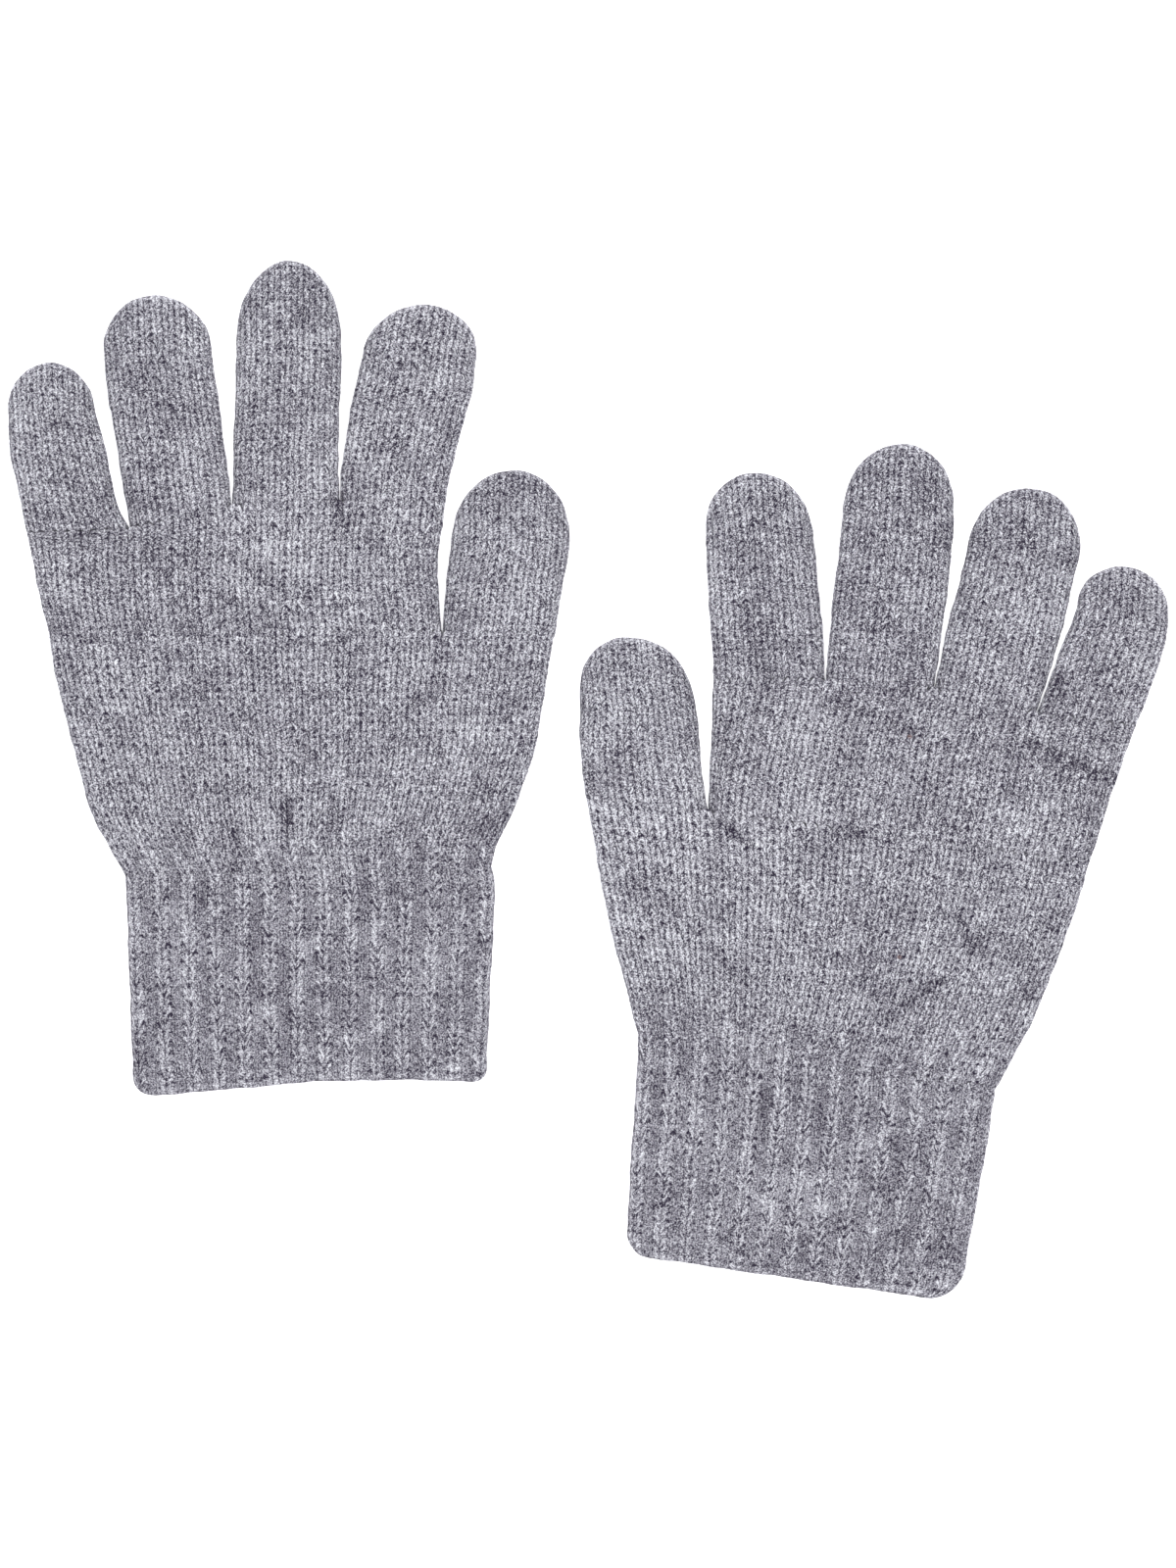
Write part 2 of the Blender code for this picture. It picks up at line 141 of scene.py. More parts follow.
CREASE_SHADE = 0.36
CREASE_SHADE_MOST = 2.5
CREASE_NARROWING = 0.7

# What each mesh point tells the yarn: its patch tone with painted shade in the creases, how far it lies in
# a groove between ribs, where shade is painted too, and how ribbed it is
TONES = ("shade", "groove", "ribbed")

# The yarn's leg from foot to arm: painted light on its crest, and painted shade in the pits where two
# courses meet
CREST_LIGHT_TONES = ((0.0, 0.42), (0.22, 0.9), (0.42, 1.0), (0.66, 0.88), (1.0, 0.42))
PIT_SHADE_TONES = ((0.0, 0.4), (0.3, 0.28), (0.5, 0.28), (0.75, 0.3), (1.0, 0.5))
PIT_SHADE_SPREAD = 1.7
PIT_SHADE_LEAST = 0.45

# What the leg group gives to the mixed grey, and its three sizes of fibre streaks
LEG_OUTPUTS = ("Crest", "Leg Shade", "Streak", "Fine Streak", "Hair", "Course")
Streak = namedtuple("Streak", "name factor detail weight")
STREAKS = (
    Streak("Streak", factor=1.0, detail=1.0, weight=0.8),
    Streak("Fine Streak", factor=1.8, detail=2.0, weight=1.9),
    Streak("Hair", factor=5.0, detail=1.0, weight=1.8),
)
STREAK_SQUEEZE = 0.36
PATTERN_STEP = 37.0

# The noises over the yarn: their sizes, and how far each moves its tone
PATCH_PER_WALE = 0.33
PATCH_PER_COURSE = 0.85
PATCH_WEIGHT = 0.42
FUZZ_SCALE = 3000.0
FUZZ_WEIGHT = 3.7
BLOTCH_SCALE = 190.0
CLOUD_SCALE = 70.0
CLOUD_WEIGHT = 0.5
CREST_MIDDLE = 0.6
CONTRAST_SPREAD = 0.9
CONTRAST_LEAST = 0.6
LEG_SHADE_WEIGHT = 0.12
GROOVE_CALM = 0.6
FLECK_SCALE = 450.0
FLECK_RARITY = 0.9985
FLECK_RADIUS = 0.25
FLECK_STRENGTH = 0.5

# How the jersey and the rib look: the strength of the painted shade in the pits and along the course lines,
# the streaks, the patches, the contrast and the level
YarnLook = namedtuple("YarnLook", "pit_depth line_depth streak_strength patchiness contrast level")
JERSEY_LOOK = YarnLook(0.8, 0.32, 1.0, 0.28, 0.79, 0.313)
RIB_LOOK = YarnLook(1.1, 0.5, 0.9, 0.5, 0.68, 0.382)

Lamp = namedtuple("Lamp", "name place size share")
LAMPS = (
    Lamp("key_light", (0.5, 0.15, 1.5), size=0.9, share=1.0),
    Lamp("fill_light", (-0.9, -0.3, 1.5), size=1.4, share=0.47),
)
WHITE = (1.0, 1.0, 1.0, 1.0)
FLOOR_HALF = 4.0
FLOOR_GLOW = 0.75
VIEW_HEIGHT = 336.0 * MM
VIEW_CENTRE_Y = -1.05 * MM
CAMERA_HEIGHT = 2.5
SENSOR = 36.0

# Smooth waves over the plan: the drift of a hand-laid knit, and low swells of its upper layer
Wave = namedtuple("Wave", "size across along start")
DRIFT_X = (Wave(0.20, 0.11, 0.43, 0.7), Wave(0.12, -0.23, 0.91, 2.1), Wave(0.10, 0.27, 1.37, 4.0))
DRIFT_Y = (Wave(0.22, 0.31, 0.0, 0.9), Wave(0.16, 0.67, 0.21, 3.3), Wave(0.10, 1.21, -0.17, 5.2))
SWELLS = (
    Wave(0.07, 0.37, 0.21, 1.0),
    Wave(0.06, 0.19, -0.44, 2.2),
    Wave(0.05, 0.83, 0.57, 0.3),
    Wave(0.04, 0.71, -0.93, 4.1),
)

Section = namedtuple("Section", "left_x left_y right_x right_y")
Point = namedtuple("Point", "x y")
Digit = namedtuple("Digit", "sections tip wales blunt", defaults=(2.0,))
Crease = namedtuple("Crease", "from_x from_y to_x to_y depth width")
Patch = namedtuple("Patch", "x y tone half_width half_height")
Corner = namedtuple("Corner", "left_radius right_radius")
Glove = namedtuple(
    "Glove",
    "name knuckles digits thumb thumb_line thumb_from thumb_to upper lower wrist cuff hem corner"
    " upper_wales lower_wales upper_swing lower_swing creases patches",
)
Knit = namedtuple("Knit", "vertices tones mouth quads zips knit_uv bake_uv")

LEFT = Glove(
    name="left",
    knuckles=[
        Point(-120.3, 52.6),
        Point(-98.2, 53.7),
        Point(-76.2, 58.3),
        Point(-53.3, 59.3),
        Point(-30.4, 59.3),
    ],
    digits={
        "little_finger": Digit(
            sections=[
                Section(-121.2, 57.2, -100.4, 57.6),
                Section(-122.2, 61.8, -101.6, 62.3),
                Section(-123.9, 69.8, -103.3, 70.7),
                Section(-124.4, 78.2, -105.5, 78.6),
            ],
            tip=Point(-115.4, 89.2),
            wales=19,
        ),
        "ring_finger": Digit(
            sections=[
                Section(-101.6, 74.4, -78.2, 74.4),
                Section(-103.3, 84.9, -79.7, 85.4),
                Section(-103.8, 91.7, -80.6, 91.7),
            ],
            tip=Point(-92.7, 103.7),
            wales=20,
        ),
        "middle_finger": Digit(
            sections=[
                Section(-75.9, 74.4, -53.4, 74.4),
                Section(-75.5, 84.9, -52.9, 84.9),
                Section(-75.4, 93.8, -52.8, 93.8),
            ],
            tip=Point(-64.1, 111.1),
            wales=20,
        ),
        "index_finger": Digit(
            sections=[
                Section(-52.9, 66.0, -29.3, 66.0),
                Section(-51.2, 77.8, -26.4, 77.0),
                Section(-49.6, 85.5, -24.5, 84.5),
                Section(-48.2, 91.6, -24.0, 89.6),
            ],
            tip=Point(-34.1, 101.6),
            wales=20,
        ),
    },
    thumb=Digit(
        sections=[
            Section(-30.6, 40.8, -5.5, 40.4),
            Section(-29.4, 50.1, -3.8, 50.7),
        ],
        tip=Point(-16.3, 66.1),
        wales=22,
        blunt=2.1,
    ),
    thumb_line=Section(-115.9, 32.2, -7.1, 31.1),
    thumb_from=0.778,
    thumb_to=1.0,
    upper=[
        Section(-119.5, 48.8, -31.9, 48.8),
        Section(-117.9, 40.8, -32.0, 40.8),
    ],
    lower=[
        Section(-113.7, 19.8, -9.1, 19.4),
        Section(-110.4, 7.2, -11.2, 6.8),
        Section(-107.1, -5.4, -15.3, -5.4),
        Section(-103.2, -13.8, -19.1, -13.5),
    ],
    wrist=Section(-99.1, -21.1, -20.6, -18.8),
    cuff=[
        Section(-99.0, -26.4, -19.8, -24.7),
        Section(-98.4, -43.2, -20.7, -43.2),
    ],
    hem=[
        Point(-97.5, -68.1),
        Point(-78.2, -66.6),
        Point(-59.1, -64.9),
        Point(-40.4, -64.5),
        Point(-21.7, -64.8),
    ],
    corner=Corner(left_radius=4.2, right_radius=2.4),
    upper_wales=68,
    lower_wales=84,
    upper_swing=2.2,
    lower_swing=0.0,
    creases=[
        Crease(-64.6, -4.5, -64.4, -14.5, 0.9, 1.6),
        Crease(-75.5, -11.7, -75.5, -19.0, 0.7, 1.6),
        Crease(-54.1, -4.3, -54.1, -11.7, 0.6, 1.5),
        Crease(-81.8, -23.2, -81.8, -26.4, 0.4, 1.6),
        Crease(-86.0, -10.0, -86.5, -13.5, 0.25, 2.5),
        Crease(-33.5, -7.5, -21.0, -10.0, 0.35, 4.0),
        Crease(-31.4, 30.3, -32.0, 23.6, 0.6, 1.8),
        Crease(-36.6, 29.3, -38.7, 21.9, 0.25, 1.5),
        Crease(-52.4, 29.8, -52.4, 28.8, 0.4, 1.5),
        Crease(-113.3, 32.0, -104.5, 38.3, 0.35, 1.6),
        Crease(-120.6, 77.6, -109.1, 74.4, 0.25, 1.6),
        Crease(-69.2, 42.9, -58.7, 39.8, 0.3, 2.5),
        Crease(-55.5, 88.5, -55.5, 86.5, 0.3, 1.6),
        Crease(-40.8, 88.7, -31.4, 89.6, 0.25, 1.8),
        Crease(-28.9, 78.6, -31.4, 61.8, 0.25, 2.0),
        Crease(-94.4, 68.1, -90.2, 57.6, 0.25, 3.5),
        Crease(-53.3, 59.3, -52.0, 54.0, 0.5, 1.8),
    ],
    patches=[
        Patch(-56.6, 64.0, 0.18, 3.2, 2.8),
        Patch(-68.8, 50.3, 0.15, 3.2, 3.0),
        Patch(-92.3, 29.3, 0.12, 3.5, 2.0),
        Patch(-77.6, 30.4, 0.10, 5.0, 1.6),
        Patch(-27.2, 10.4, 0.10, 6.0, 1.8),
        Patch(-71.3, 87.0, 0.10, 2.5, 4.0),
        Patch(-55.5, 95.5, 0.12, 2.0, 3.0),
        Patch(-102.8, -13.8, 0.12, 3.5, 2.5),
        Patch(-46.1, 19.8, -0.08, 6.0, 4.0),
        Patch(-91.0, 62.0, -0.10, 5.0, 5.0),
    ],
)

RIGHT = Glove(
    name="right",
    knuckles=[
        Point(26.8, 21.3),
        Point(50.9, 21.1),
        Point(74.2, 19.2),
        Point(96.1, 14.2),
        Point(117.4, 11.2),
    ],
    digits={
        "index_finger": Digit(
            sections=[
                Section(26.4, 30.3, 50.5, 30.3),
                Section(25.7, 38.7, 49.7, 38.7),
                Section(25.2, 52.4, 48.3, 52.8),
            ],
            tip=Point(35.6, 65.7),
            wales=20,
        ),
        "middle_finger": Digit(
            sections=[
                Section(51.6, 30.3, 75.6, 29.3),
                Section(52.6, 40.8, 77.2, 40.8),
                Section(54.0, 51.8, 78.3, 51.8),
                Section(54.6, 58.1, 78.4, 58.1),
            ],
            tip=Point(67.3, 71.8),
            wales=20,
        ),
        "ring_finger": Digit(
            sections=[
                Section(76.9, 32.4, 100.9, 29.3),
                Section(79.3, 41.3, 103.8, 41.3),
                Section(81.3, 49.2, 105.5, 48.8),
            ],
            tip=Point(94.4, 62.4),
            wales=20,
        ),
        "little_finger": Digit(
            sections=[
                Section(99.5, 23.2, 122.3, 24.0),
                Section(103.0, 32.4, 124.2, 32.0),
                Section(104.8, 36.9, 124.4, 35.2),
            ],
            tip=Point(115.0, 45.6),
            wales=17,
        ),
    },
    thumb=Digit(
        sections=[
            Section(-1.2, 0.9, 24.6, 0.5),
            Section(-1.8, 9.3, 23.8, 9.3),
            Section(-1.7, 15.2, 23.3, 14.4),
        ],
        tip=Point(9.2, 30.4),
        wales=22,
        blunt=2.2,
    ),
    thumb_line=Section(-0.5, -3.6, 107.5, -18.0),
    thumb_from=0.0,
    thumb_to=0.242,
    upper=[
        Section(26.4, 9.3, 113.9, 1.8),
    ],
    lower=[
        Section(2.1, -19.0, 104.2, -28.9),
        Section(4.5, -31.2, 100.7, -38.5),
        Section(7.9, -44.2, 95.3, -51.7),
    ],
    wrist=Section(10.6, -54.7, 87.3, -66.7),
    cuff=[
        Section(10.1, -66.3, 86.2, -74.7),
        Section(8.9, -83.1, 84.0, -87.3),
    ],
    hem=[Point(8.1, -101.8), Point(43.8, -107.0), Point(79.5, -112.1)],
    corner=Corner(left_radius=4.6, right_radius=7.4),
    upper_wales=68,
    lower_wales=81,
    upper_swing=-0.8,
    lower_swing=3.5,
    creases=[
        Crease(94.6, 7.9, 113.5, -0.5, 0.8, 1.8),
        Crease(101.3, 21.9, 99.2, 16.7, 0.7, 1.8),
        Crease(28.5, -9.6, 34.8, -14.2, 0.7, 2.0),
        Crease(50.5, -10.8, 58.5, -12.1, 0.45, 1.4),
        Crease(68.0, -18.0, 68.8, -18.8, 0.35, 1.5),
        Crease(78.9, -29.5, 82.6, -36.4, 0.55, 1.6),
        Crease(63.1, -52.0, 75.7, -43.2, 0.7, 2.0),
        Crease(24.3, -34.3, 34.1, -43.8, 0.45, 1.6),
        Crease(32.7, 35.6, 37.9, 21.9, 0.3, 3.0),
        Crease(52.6, 16.7, 70.5, 9.8, 0.45, 1.6),
        Crease(7.5, -25.3, 12.7, -22.2, 0.3, 2.0),
        Crease(37.5, -66.3, 37.9, -77.8, 0.5, 1.3),
        Crease(65.8, -76.8, 66.3, -81.0, 0.5, 1.8),
        Crease(49.5, -66.3, 50.1, -74.7, 0.3, 1.3),
        Crease(104.1, 36.7, 102.6, 30.3, 0.3, 2.0),
        Crease(81.0, 40.8, 78.9, 32.4, 0.25, 2.0),
    ],
    patches=[
        Patch(10.6, 6.8, 0.13, 3.0, 2.5),
        Patch(11.7, 29.3, 0.10, 5.0, 3.0),
        Patch(99.9, 52.4, 0.12, 3.0, 3.0),
        Patch(99.9, 24.5, 0.20, 1.6, 2.4),
        Patch(75.7, 29.3, 0.20, 1.6, 2.4),
        Patch(56.4, -33.7, 0.12, 2.5, 4.0),
        Patch(35.8, -60.0, 0.12, 1.6, 2.5),
        Patch(92.5, -10.6, 0.08, 7.0, 6.0),
        Patch(51.6, 11.4, 0.08, 3.5, 3.0),
        Patch(8.5, -31.6, 0.08, 3.0, 2.0),
    ],
)


class KnitSizes(bpy.types.PropertyGroup):
    """Sizes of the stitches and the ribs"""

    stitch_relief: bpy.props.FloatProperty(
        name="Stitch relief",
        description="Depth of the groove between two wales",
        default=0.55 * MM,
        min=0.0,
        unit="LENGTH",
    )
    stitch_slant: bpy.props.FloatProperty(
        name="Stitch slant",
        description="How far the V of a stitch drops from its arms to its foot",
        default=1.2 * MM,
        min=0.0,
        unit="LENGTH",
    )
    rib_height: bpy.props.FloatProperty(
        name="Rib height",
        description="Height of the cuff's ribs above the valleys between them",
        default=0.7 * MM,
        min=0.0,
        unit="LENGTH",
    )
    unevenness: bpy.props.FloatProperty(
        name="Unevenness",
        description="How much one stitch differs from the next in height and place",
        default=0.5,
        min=0.0,
        max=1.0,
        subtype="FACTOR",
    )
    seed: bpy.props.IntProperty(
        name="Seed",
        description="Start of the random draws that make the stitches uneven",
        default=7,
    )


class YarnColours(bpy.types.PropertyGroup):
    """Colours of the fibres in the yarn"""

    dark: bpy.props.FloatVectorProperty(
        name="Dark fibre",
        description="Colour of the darkest fibres in the yarn",
        default=(0.022, 0.016, 0.036),
        min=0.0,
        max=1.0,
        subtype="COLOR",
    )
    middle: bpy.props.FloatVectorProperty(
        name="Middle fibre",
        description="Colour of most of the yarn",
        default=(0.36, 0.352, 0.405),
        min=0.0,
        max=1.0,
        subtype="COLOR",
    )
    light: bpy.props.FloatVectorProperty(
        name="Light fibre",
        description="Colour of the palest fibres in the yarn",
        default=(0.88, 0.89, 0.95),
        min=0.0,
        max=1.0,
        subtype="COLOR",
    )
    fleck: bpy.props.FloatVectorProperty(
        name="Fleck",
        description="Colour of the few brown flecks",
        default=(0.16, 0.07, 0.05),
        min=0.0,
        max=1.0,
        subtype="COLOR",
    )


class StudioSettings(bpy.types.PropertyGroup):
    """The light and the floor of the studio"""

    sky_strength: bpy.props.FloatProperty(
        name="Surround light",
        description="Strength of the even white light from all round",
        default=0.85,
        min=0.0,
    )
    key_power: bpy.props.FloatProperty(
        name="Key light",
        description="Power of the large soft light above, a little to the right",
        default=8.5,
        min=0.0,
        unit="POWER",
    )
    floor_colour: bpy.props.FloatVectorProperty(
        name="Floor",
        description="Colour of the plain pale floor",
        default=(0.93, 0.93, 0.93),
        min=0.0,
        max=1.0,
        subtype="COLOR",
    )


def smooth(stack, place):
    """Points on the smooth curve through a stack of points, at places 0 to its count less one."""
    last = len(stack) - 1
    index = np.clip(np.floor(place).astype(int), 0, last - 1)
    along = (place - index)[..., None]

    def at(number):
        if stack.ndim == 2:
            return stack[number]
        return np.take_along_axis(stack, number[None, ..., None], axis=0)[0]

    start, end = at(index), at(index + 1)
    before = np.where((index > 0)[..., None], at(np.maximum(index - 1, 0)), 2.0 * start - end)
    after = np.where((index + 2 <= last)[..., None], at(np.minimum(index + 2, last)), 2.0 * end - start)
    bend = (-before + 3.0 * start - 3.0 * end + after) * along**3
    lean = (2.0 * before - 5.0 * start + 4.0 * end - after) * along**2
    return start + 0.5 * (bend + lean + (end - before) * along)


def ease(value):
    """0 below 0, 1 above 1 and a smooth step between."""
    value = np.clip(value, 0.0, 1.0)
    return value * value * (3.0 - 2.0 * value)


def straight(section):
    """A section as the line between its two ends."""
    return np.array([(section.left_x, section.left_y), (section.right_x, section.right_y)])


def stack_up(below, sections, above):
    """The lines of a tube that runs up through sections, which are listed from the top down."""
    return [below] + [straight(section) for section in reversed(sections)] + [above]


def part_of(line, start, end, steps=8):
    """Points of a line between two shares of its way."""
    return smooth(line, np.linspace(start, end, steps + 1) * (len(line) - 1))


def plan(lines, place, share):
    """Plan points at places along a tube and shares across it."""
    stack = np.stack([smooth(line, share * (len(line) - 1)) for line in lines])
    return smooth(stack, place)


def waves(points, table):
    """The sum of a table's waves at plan points."""
    x, y = points[..., 0], points[..., 1]
    return sum(wave.size * np.sin(wave.across * x + wave.along * y + wave.start) for wave in table)


def drifted(points):
    """Plan points moved by the slight drift of a hand-laid knit."""
    return points + DRIFT * np.stack([waves(points, DRIFT_X), waves(points, DRIFT_Y)], axis=-1)


def crease_depth(points, creases):
    """How far the upper layer sinks at plan points, from all the creases."""
    depth = np.zeros(points.shape[:-1])
    for crease in creases:
        start = np.array((crease.from_x, crease.from_y))
        run = np.array((crease.to_x, crease.to_y)) - start
        share = np.clip((points - start) @ run / (run @ run), 0.0, 1.0)
        distance = np.linalg.norm(points - start - share[..., None] * run, axis=-1)
        depth += crease.depth * np.exp(-((distance / (CREASE_NARROWING * crease.width)) ** 2))
    return depth


def patch_tone(points, patches):
    """How much paler or darker the yarn is at plan points, from all the patches."""
    tone = np.zeros(points.shape[:-1])
    for patch in patches:
        across = (points[..., 0] - patch.x) / patch.half_width
        along = (points[..., 1] - patch.y) / patch.half_height
        tone += patch.tone * np.exp(-(across**2) - along**2)
    return tone


def roll(points, glove):
    """The soft roll of jersey just above the cuff."""
    wrist = straight(glove.wrist)
    run = wrist[1] - wrist[0]
    normal = np.array((-run[1], run[0])) / np.linalg.norm(run)
    distance = np.abs((points - wrist[0]) @ normal) - ROLL_CENTRE
    return ROLL_HEIGHT * np.exp(-((distance / ROLL_LENGTH) ** 2))


def rib_crest(wale):
    """1 along the crest of each rib, falling to 0 in the valleys."""
    within = wale % WALES_PER_RIB
    return ease((RIB_HALF_CREST - np.abs(within - 0.5 * WALES_PER_RIB)) / RIB_FLANK)


def swing_shape(share):
    """A bow that is 1 in the middle of a layer and 0 at its edges."""
    return 4.0 * share * (1.0 - share)


class Measure:
    """Sizes of a tube's flattened section at each of its rows."""

    def __init__(self, width):
        self.width = width
        self.fold = np.minimum(FOLD_RADIUS, FOLD_SHARE * 0.5 * width)
        self.flat = 0.5 * width - self.fold
        self.quarter = 0.25 * math.pi * (self.fold + HALF_HEIGHT)
        self.half_round = 2.0 * (self.quarter + self.flat)

    def section(self, arc):
        """Side place and turn of the fold at arc lengths from the left edge."""
        from_edge = np.minimum(arc, self.half_round - arc)
        turn = 0.5 * math.pi * np.clip(from_edge / self.quarter, 0.0, 1.0)
        on_left = arc < 0.5 * self.half_round
        outer = self.flat + self.fold * np.cos(turn)
        inner = np.abs(arc - 0.5 * self.half_round)
        side = np.where(from_edge < self.quarter, outer, inner)
        return np.where(on_left, -side, side), turn


class Tube:
    """One knitted tube: the lines it runs through, its wales and how its ends are made."""

    def __init__(self, glove, kind, lines, wales, course, digit=None):
        self.name, self.kind, self.glove = f"{glove.name}_{kind}", kind, glove
        self.lines, self.wales, self.digit, self.hem = lines, wales, digit, kind == "cuff"
        last = len(lines) - 1
        self.samples = np.linspace(-LINE_REACH, last + LINE_REACH, LINE_SAMPLES)
        middle = plan(lines, self.samples, np.full(self.samples.shape, 0.5))
        steps = np.concatenate([[0.0], np.cumsum(np.linalg.norm(np.diff(middle, axis=0), axis=1))])
        self.lengths = steps - np.interp(0.0, self.samples, steps)
        self.body_length = float(np.interp(last, self.samples, self.lengths))
        self.tip_run = np.zeros(2)
        if digit:
            top_middle = smooth(lines[-1], np.array(0.5 * (len(lines[-1]) - 1)))
            self.tip_run = np.array(digit.tip) - top_middle
        self.tip_length = np.linalg.norm(self.tip_run)
        self.length = self.body_length + float(self.tip_length)
        self.courses = max(LEAST_COURSES, round(self.length / course))
        self.phase = 0.0
        self.anchor = None
        self.swing = 0.0

    def place_at(self, distance):
        """Places along the lines at distances along the tube."""
        return np.interp(distance, self.lengths, self.samples)

    def edges_at(self, distance):
        """The left and the right edge at distances along the tube, held past its last line."""
        place = self.place_at(np.minimum(distance, self.body_length))
        return plan(self.lines, place, np.zeros(place.shape)), plan(self.lines, place, np.ones(place.shape))

    def width_at(self, distance):
        """Widths at distances along the tube."""
        left, right = self.edges_at(distance)
        return np.linalg.norm(right - left, axis=-1)

    def ribbed_at(self, distance):
        """How ribbed the knit is, from 0 in the jersey to 1 in the rib."""
        if self.kind == "cuff":
            return WRIST_RIB + (1.0 - WRIST_RIB) * ease((self.length - distance) / RIB_FADE)
        if self.kind == "lower_hand":
            return WRIST_RIB * ease(1.0 - distance / HAND_RIB_FADE)
        return np.zeros(distance.shape)

    def round_end(self, mark, tip_length):
        """How far along a finger its round tip reaches, at marks from -1 to 1 across it."""
        blunt = self.digit.blunt
        reach = np.clip(1.0 - np.abs(mark) ** blunt, 0.0, 1.0) ** (1.0 / blunt)
        return self.body_length + tip_length * reach

    def plan_at(self, distance, share):
        """Plan points at distances along the tube, past its last line too on a finger."""
        if self.hem:
            return self.cuff_plan(distance, share)
        if not self.digit:
            return plan(self.lines, self.place_at(distance), share)
        beyond = np.maximum(distance - self.body_length, 0.0) / self.tip_length
        points = plan(self.lines, self.place_at(np.minimum(distance, self.body_length)), share)
        return points + beyond[..., None] * self.tip_run

    def cuff_plan(self, distance, share):
        """Plan points of the cuff, drawn in near the hem by its round corners."""
        place = self.place_at(distance)
        hem, corner = self.lines[0], self.glove.corner
        moved = share
        for edge, radius, inward in ((0.0, corner.left_radius, 1.0), (1.0, corner.right_radius, -1.0)):
            edge_points = plan(self.lines, place, np.full(place.shape, edge))
            hem_end = smooth(hem, np.array(edge * (len(hem) - 1)))
            from_hem = np.linalg.norm(edge_points - hem_end, axis=-1)
            sunk = np.clip(radius - from_hem, 0.0, radius)
            inset = (radius - np.sqrt(radius**2 - sunk**2)) / CUFF_WIDTH
            from_edge = share if edge == 0.0 else 1.0 - share
            fade = np.clip(1.0 - from_edge / (CORNER_REACH * np.maximum(inset, 1e-6)), 0.0, 1.0) ** 2
            moved = moved + inward * inset * fade
        return plan(self.lines, place, moved)

    def meet(self, below, start, end):
        """Sets the wales of this tube's base to go on from those of the tube below it."""
        width_below = below.width_at(np.array([below.length]))
        side_below = (0.5 * (start + end) - 0.5) * width_below[0]
        round_below = Measure(width_below).half_round[0]
        evenly = np.linspace(0.0, 1.0, 401)
        swung = evenly + below.swing / round_below * swing_shape(evenly)
        share_below = np.interp(0.5 + side_below / round_below, swung, evenly)
        stretch = np.interp(share_below, evenly, np.gradient(swung, evenly))
        wale_below = below.phase + 0.5 * below.wales * share_below
        own_pitch = round_below / (0.5 * below.wales) * stretch
        self.phase = round(4.0 * ((wale_below - 0.25 * self.wales) % 1.0)) / 4.0 % 1.0
        offset = (wale_below - self.phase - 0.25 * self.wales + 0.5) % 1.0 - 0.5
        base = Measure(self.width_at(np.array([0.0])))
        middle = self.phase + 0.25 * self.wales + offset
        reach = base.flat[0] / own_pitch
        wales = [self.phase, middle - reach, middle + reach, self.phase + 0.5 * self.wales]
        corner = base.quarter[0] / base.half_round[0]
        self.anchor = (wales, [0.0, corner, 1.0 - corner, 1.0])
        return self

    def rows(self):
        """Distances of the mesh rows, in courses, closer at a free end."""
        rows = np.arange(self.courses * ROWS_PER_COURSE + 1) / ROWS_PER_COURSE
        if self.hem:
            rows = np.concatenate([HEM_ROWS, rows[1:]])
        if self.digit:
            rows = np.concatenate([rows[:-1], self.courses - np.array(TIP_ROWS)])
        return rows


